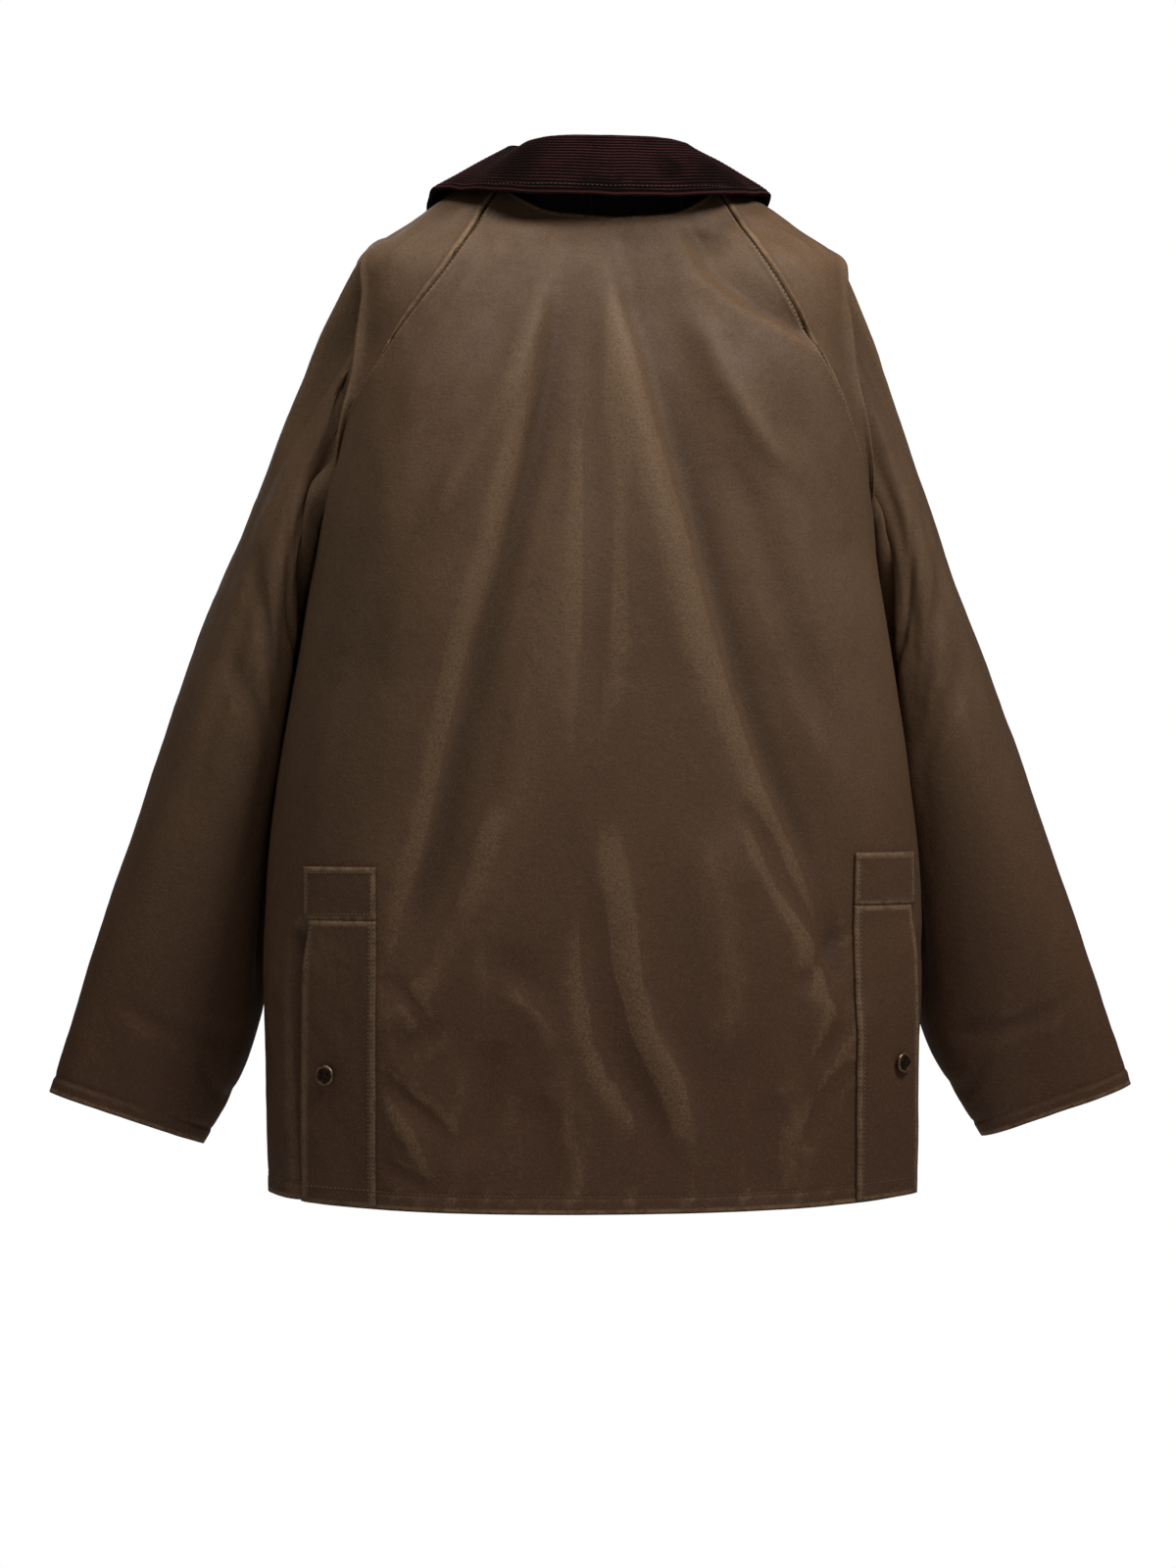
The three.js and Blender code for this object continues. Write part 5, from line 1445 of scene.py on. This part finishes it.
# Collar
@dataclass
class Collar:
    """The folded collar: corduroy over undercollar cloth, sewn to the neckline and turned at its roll."""

    end_turn: float = 174.0
    roll: float = 5.0
    middle: float = 10.0
    inset: float = 4.4
    tuck: float = 6.0
    bulge: float = 3.0
    rest: float = 4.0
    gap: float = 0.4
    pile: float = 1.8
    under: float = 1.4
    wale_pitch: float = 3.2
    wale_height: float = 0.62
    columns: int = 150
    rows: int = 215

    def line(self, turn: Array) -> Array:
        """The line through the collar's middle at each turn, from the neck seam over the roll to the edge."""
        side = np.abs(turn)
        value = lambda column: COLLAR_ROWS.read(column, side)
        neck = BODY.point(turn, NECKLINE.read("z", side))
        out = neck - np.stack([lean_at(neck[..., 2]), np.full_like(turn, self.middle), neck[..., 2]], -1)
        out[..., 2] = 0
        out = unit(out)
        up = np.array([0.0, 0.0, 1.0])
        roll = neck - out * value("inward")[:, None]
        roll[..., 2] += value("rise") - self.roll
        start = neck - out * self.inset - up * self.tuck
        line = [start + (roll - start) * t for t in (0, 0.3, 0.62, 0.9)]
        for angle in np.radians((180, 130, 85, 40)):
            line.append(roll + out * self.roll * (1 + math.cos(angle)) + up * self.roll * math.sin(angle))
        edge = roll + out * (self.roll + value("out"))[:, None] + up * (self.roll - value("down"))[:, None]
        last = line[-1]
        for t in (0.25, 0.5, 0.75, 1):
            p = last + (edge - last) * t + out * self.bulge * math.sin(math.pi * t)
            p[..., 2] = np.maximum(p[..., 2], BODY.height_over(p[..., 0], p[..., 1]) + self.rest)
            line.append(p)
        return np.stack(line)

    def grid(self) -> tuple[Array, Array]:
        """The fine grid of the collar's middle, and how far each row's place is along the line."""
        turns = np.linspace(-self.end_turn, self.end_turn, self.columns)
        coarse = self.line(turns)
        dense = spline_rows(coarse, np.linspace(0, len(coarse) - 1, 400))
        step = np.linalg.norm(np.diff(dense, axis=0), axis=-1)
        length = np.concatenate([np.zeros((1, step.shape[1])), np.cumsum(step, axis=0)])
        out = np.empty((self.rows, self.columns, 3))
        place = np.empty((self.rows, self.columns))
        for j in range(self.columns):
            s = np.linspace(0, length[-1, j], self.rows)
            place[:, j] = s
            for axis in range(3):
                out[:, j, axis] = np.interp(s, length[:, j], dense[:, j, axis])
        return out, place

    def build(self, finishes: Wardrobe) -> bpy.types.Object:
        """Makes both layers and returns the corduroy one."""
        middle, place = self.grid()
        middle = blurred(middle, False, 3)
        nape = (2, self.columns // 2)
        normals = unit(blurred(grid_normals(middle, False, np.array([0.0, -1.0, 0.0]), nape), False, 6))
        wave = self._wave(middle)
        middle = middle + normals * wave[..., None]
        end = place[-1:]
        ends = seam_distance(middle, [middle[:, 0], middle[:, -1]])
        border = np.minimum(np.minimum(end - place, place), ends)
        cycle = np.abs(np.sin(np.pi * (end - place) / self.wale_pitch))
        wale = cycle ** 0.55
        groove = np.exp(-(((end - place - 6.5) / 0.9) ** 2)) * 0.5
        roll_off = 1 - np.exp(-border / 1.1)
        height = self.wale_height * (wale * roll_off - 1) - groove
        top = middle + normals * (self.gap / 2 + self.pile + height)[..., None]
        cloth = Cloth(top, normals, self.pile - self.wale_height, seam=border)
        thing = cloth.build("collar_corduroy")
        cloth.carry(thing.data, "wale", wale * roll_off)
        dress(thing, Slot.CORDUROY, finishes.corduroy, node="collar_top")
        skip = slice(None, None, 3)
        under = middle[skip] - normals[skip] * self.gap / 2
        beneath = Cloth(under, normals[skip], self.under, seam=border[skip])
        lower = beneath.build("undercollar")
        dress(lower, Slot.UNDERCOLLAR, finishes.undercollar, node="collar_under")
        sewing = Sewing(Thread(2.2, 3.4, 0.4, 0.26))
        k = int(np.argmin(np.abs(end[0, 0] - place[:, 0] - 6.5)))
        sewing.add(thing, top[k])
        sewing.build("collar_stitching", Slot.CORDUROY, finishes.collar_thread)
        return thing

    def _wave(self, points: Array) -> Array:
        """The slow waves of a collar that has been turned up and down for years, strongest at its edge."""
        share = np.linspace(0, 1, self.rows)[:, None] ** 3
        x = points[..., 0]
        soft = Crinkle(1.0, 38.0, 1.6, 5.5).at(points, np.ones(points.shape[:2]))
        return share * (1.3 * np.sin(x / 17 + 0.6) + 2.2 * soft)


# Strips on the trunk
@dataclass
class Strip:
    """A strip of shell cloth that lies on the trunk between two edges and two heights, in millimetres."""

    name: str
    node: str
    inner: float
    outer: float
    top: float
    bottom: float | None
    above: float
    side: Side = Side.BACK
    lift: float = 0.0
    lift_from: float = 39.0
    thickness: float = 1.6
    hem_turn: float = 1.0
    pitch: float = 1.5

    def build(self, finishes: Wardrobe) -> tuple[bpy.types.Object, Array]:
        """Makes the strip and gives its outer face's points as well."""
        across = np.linspace(0, 1, int(abs(self.outer - self.inner) / self.pitch))
        width = self.inner + (self.outer - self.inner) * across
        turn = BODY.turn_at(width, np.full_like(width, HEM_SIDE), self.side)
        bottom = hem_height(turn) + self.hem_turn if self.bottom is None else np.full_like(width, self.bottom)
        rows = int((self.top - float(bottom.min())) / (self.pitch * 1.4))
        share = np.linspace(0, 1, rows)[:, None]
        z = bottom[None] + (self.top - bottom[None]) * share
        x = np.broadcast_to(width[None], z.shape)
        lift = self.lift * across[None] ** 2 * smooth((self.top - z) / self.lift_from)
        height = self.above + self.thickness + lift
        turn = BODY.turn_at(x - lean_at(z), z, self.side)
        points, normals = BODY.cloth(turn, z, height)
        aside = np.minimum(np.abs(x - self.inner), np.abs(x - self.outer))
        border = np.minimum(aside, np.minimum(self.top - z, z - bottom[None]))
        edge = 0.1 * np.exp(-(((border - 3.4) / 1.4) ** 2)) - 0.4 * np.exp(-((border / 0.9) ** 2))
        edge = edge - 0.22 * np.exp(-(((border - 1.7) / 0.8) ** 2))
        points = points + normals * edge[..., None]
        cloth = Cloth(points, normals, self.thickness, seam=border)
        thing = cloth.build(self.name)
        dress(thing, Slot.TRIM, finishes.trim, finishes.trim, node=self.node)
        return thing, points


@dataclass
class Stud:
    """A press stud's cap: a low dome in a rolled rim, with no mark on it."""

    name: str
    node: str
    across: float
    height: float
    above: float
    side: Side = Side.BACK
    radius: float = 7.8
    segments: int = 64
    profile: tuple[tuple[float, float, float], ...] = (
        (0.0, 2.35, 0), (2.6, 2.3, 0), (4.7, 2.05, 0), (5.3, 1.95, 0), (5.7, 2.25, 0.5), (6.3, 2.75, 1),
        (6.9, 2.8, 1), (7.4, 2.35, 1), (7.8, 1.4, 0.5), (7.8, 0.4, 0), (7.3, 0.0, 0), (0.0, 0.0, 0),
    )

    def build(self, finishes: Wardrobe) -> bpy.types.Object:
        """Makes the cap on the cloth that it is fixed to."""
        z = np.array(self.height)
        turn = BODY.turn_at(np.array(self.across) - lean_at(z), z, self.side)
        seat, normal = BODY.point(turn, z), BODY.normal(turn, z)
        seat = seat + normal * self.above
        turnabout = Vector(normal).to_track_quat("Z", "Y").to_matrix()
        angles = np.linspace(0, 2 * np.pi, self.segments, endpoint=False)
        points, rim, faces = [], [], []
        for r, h, shine in self.profile:
            for a in angles:
                local = turnabout @ Vector((r * math.cos(a), r * math.sin(a), h))
                points.append((seat + np.array(local)) * MM)
                rim.append(shine)
        for i in range(len(self.profile) - 1):
            for j in range(self.segments):
                k = (j + 1) % self.segments
                faces.append([i * self.segments + j, (i + 1) * self.segments + j,
                              (i + 1) * self.segments + k, i * self.segments + k])
        mesh = bpy.data.meshes.new(self.name)
        mesh.from_pydata([tuple(p) for p in points], [], faces)
        mesh.polygons.foreach_set("use_smooth", np.ones(len(mesh.polygons), bool))
        mesh.attributes.new("rim", "FLOAT", "POINT").data.foreach_set("value", np.array(rim, np.float32))
        cap = bpy.data.objects.new(self.name, mesh)
        bpy.context.scene.collection.objects.link(cap)
        dress(cap, Slot.BRASS, finishes.brass, node=self.node)
        return cap


@dataclass
class Vent:
    """One studded vent: a strip down to the hem, a patch over its top and a stud that closes it."""

    hand: int
    top: float
    above: float
    stud_x: float
    stud_z: float
    centre: float = 204.5
    width: float = 47.0
    slide: float = -8.0
    patch: float = 39.0
    overhang: float = 3.0
    lift: float = 5.0
    tip: float = 0.75

    def build(self, finishes: Wardrobe, sewing: Sewing) -> None:
        """Makes the vent and sews it on."""
        word = "left" if self.hand > 0 else "right"
        inner = self.hand * (self.centre - self.width / 2) + self.slide
        outer = self.hand * (self.centre + self.width / 2) + self.slide
        split = self.top - self.patch
        flap = Strip(f"vent_flap_{word}", f"vent_strip_{word}", inner, outer, split - SEAM_GAP, None,
                     self.above, lift=self.lift)
        beyond = outer + self.hand * self.overhang
        cover = Strip(f"vent_cover_{word}", f"vent_patch_{word}", inner, beyond, self.top, split, self.above)
        strip, points = flap.build(finishes)
        patch, over = cover.build(finishes)
        for k in (1, 3):
            sewing.add(strip, points[:, k])
        sewing.add(strip, points[:, -3])
        sewing.add(strip, points[6])
        for line in (over[:, 2], over[-3], over[2], over[:, -3]):
            sewing.add(patch, line)
        share = (self.stud_x - inner) / (outer - inner) + self.tip * 7.8 / self.width
        Stud(f"vent_cap_{word}", f"vent_stud_{word}", self.stud_x, self.stud_z,
             self.above + flap.thickness + self.lift * share**2 + 0.3).build(finishes)


@dataclass
class Fly:
    """The plain strip that closes the fronts, with its row of studs."""

    left: float = 22.0
    right: float = -34.0
    top: float = -62.0
    above: float = 1.2
    studs: int = 5
    stud_x: float = -20.0
    stud_top: float = -104.0
    pitch: float = 130.0

    def build(self, finishes: Wardrobe, sewing: Sewing) -> None:
        """Makes the fly and its studs."""
        strip = Strip("fly_strip", "fly", self.right, self.left, self.top, None, self.above, side=Side.FRONT)
        thing, points = strip.build(finishes)
        for column in (2, -3):
            sewing.add(thing, points[:, column])
        for k in range(self.studs):
            Stud(f"fly_cap_{k + 1}", f"fly_stud_{k + 1}", self.stud_x, self.stud_top - k * self.pitch,
                 self.above + strip.thickness + 0.3, Side.FRONT).build(finishes)


@dataclass
class Jacket:
    """The whole worn jacket."""

    vents: tuple[Vent, ...] = (
        Vent(1, -480.0, 0.9, 205.5, -632.0),
        Vent(-1, -470.0, 1.3, -216.5, -626.0, slide=-2.0),
    )

    def build(self, finishes: Wardrobe) -> None:
        """Makes every piece."""
        back = BackPanel().build(finishes)
        fronts = [FrontPanel(hand).build(finishes) for hand in (1, -1)]
        sleeves = [Sleeve(hand).build(finishes) for hand in (1, -1)]
        Collar().build(finishes)
        sewing = Sewing()
        for vent in self.vents:
            vent.build(finishes, sewing)
        Fly().build(finishes, sewing)
        self._hem(sewing, back, fronts)
        sewing.build("shell_stitching", Slot.COTTON, finishes.thread)
        seams = Sewing(Thread(2.0, 3.4, 0.5, 0.3))
        self._seams(seams, back, fronts)
        seams.build("seam_stitching", Slot.COTTON, finishes.seam_thread)

    def _seams(self, sewing: Sewing, back: bpy.types.Object, fronts: list[bpy.types.Object]) -> None:
        """Sews the raglan seams, on the body's side of each."""
        step = np.linspace(NECK_STEPS + 0.1, LOOP / 2 - 0.3, 160)
        for hand, front in ((1, fronts[0]), (-1, fronts[1])):
            for side, panel in ((Side.BACK, back), (Side.FRONT, front)):
                turn, z = seam_place(step, side, hand)
                sewing.add(panel, BODY.point(hand * turn, z) - into_sleeve(step, side, hand) * 2.6)

    def _hem(self, sewing: Sewing, back: bpy.types.Object, fronts: list[bpy.types.Object]) -> None:
        """Sews the hem."""
        for panel, turns in ((back, np.linspace(-100, 100, 240)), (fronts[0], np.linspace(102, 179, 90)),
                             (fronts[1], np.linspace(-102, -179, 90))):
            sewing.add(panel, BODY.point(turns, hem_height(turns) + 13.0))


def main() -> None:
    """Builds the scene."""
    logging.basicConfig(level=logging.INFO, format="%(message)s")
    finishes = Wardrobe.filled()
    Jacket().build(finishes)
    Studio().build()


if __name__ == "__main__":
    main()
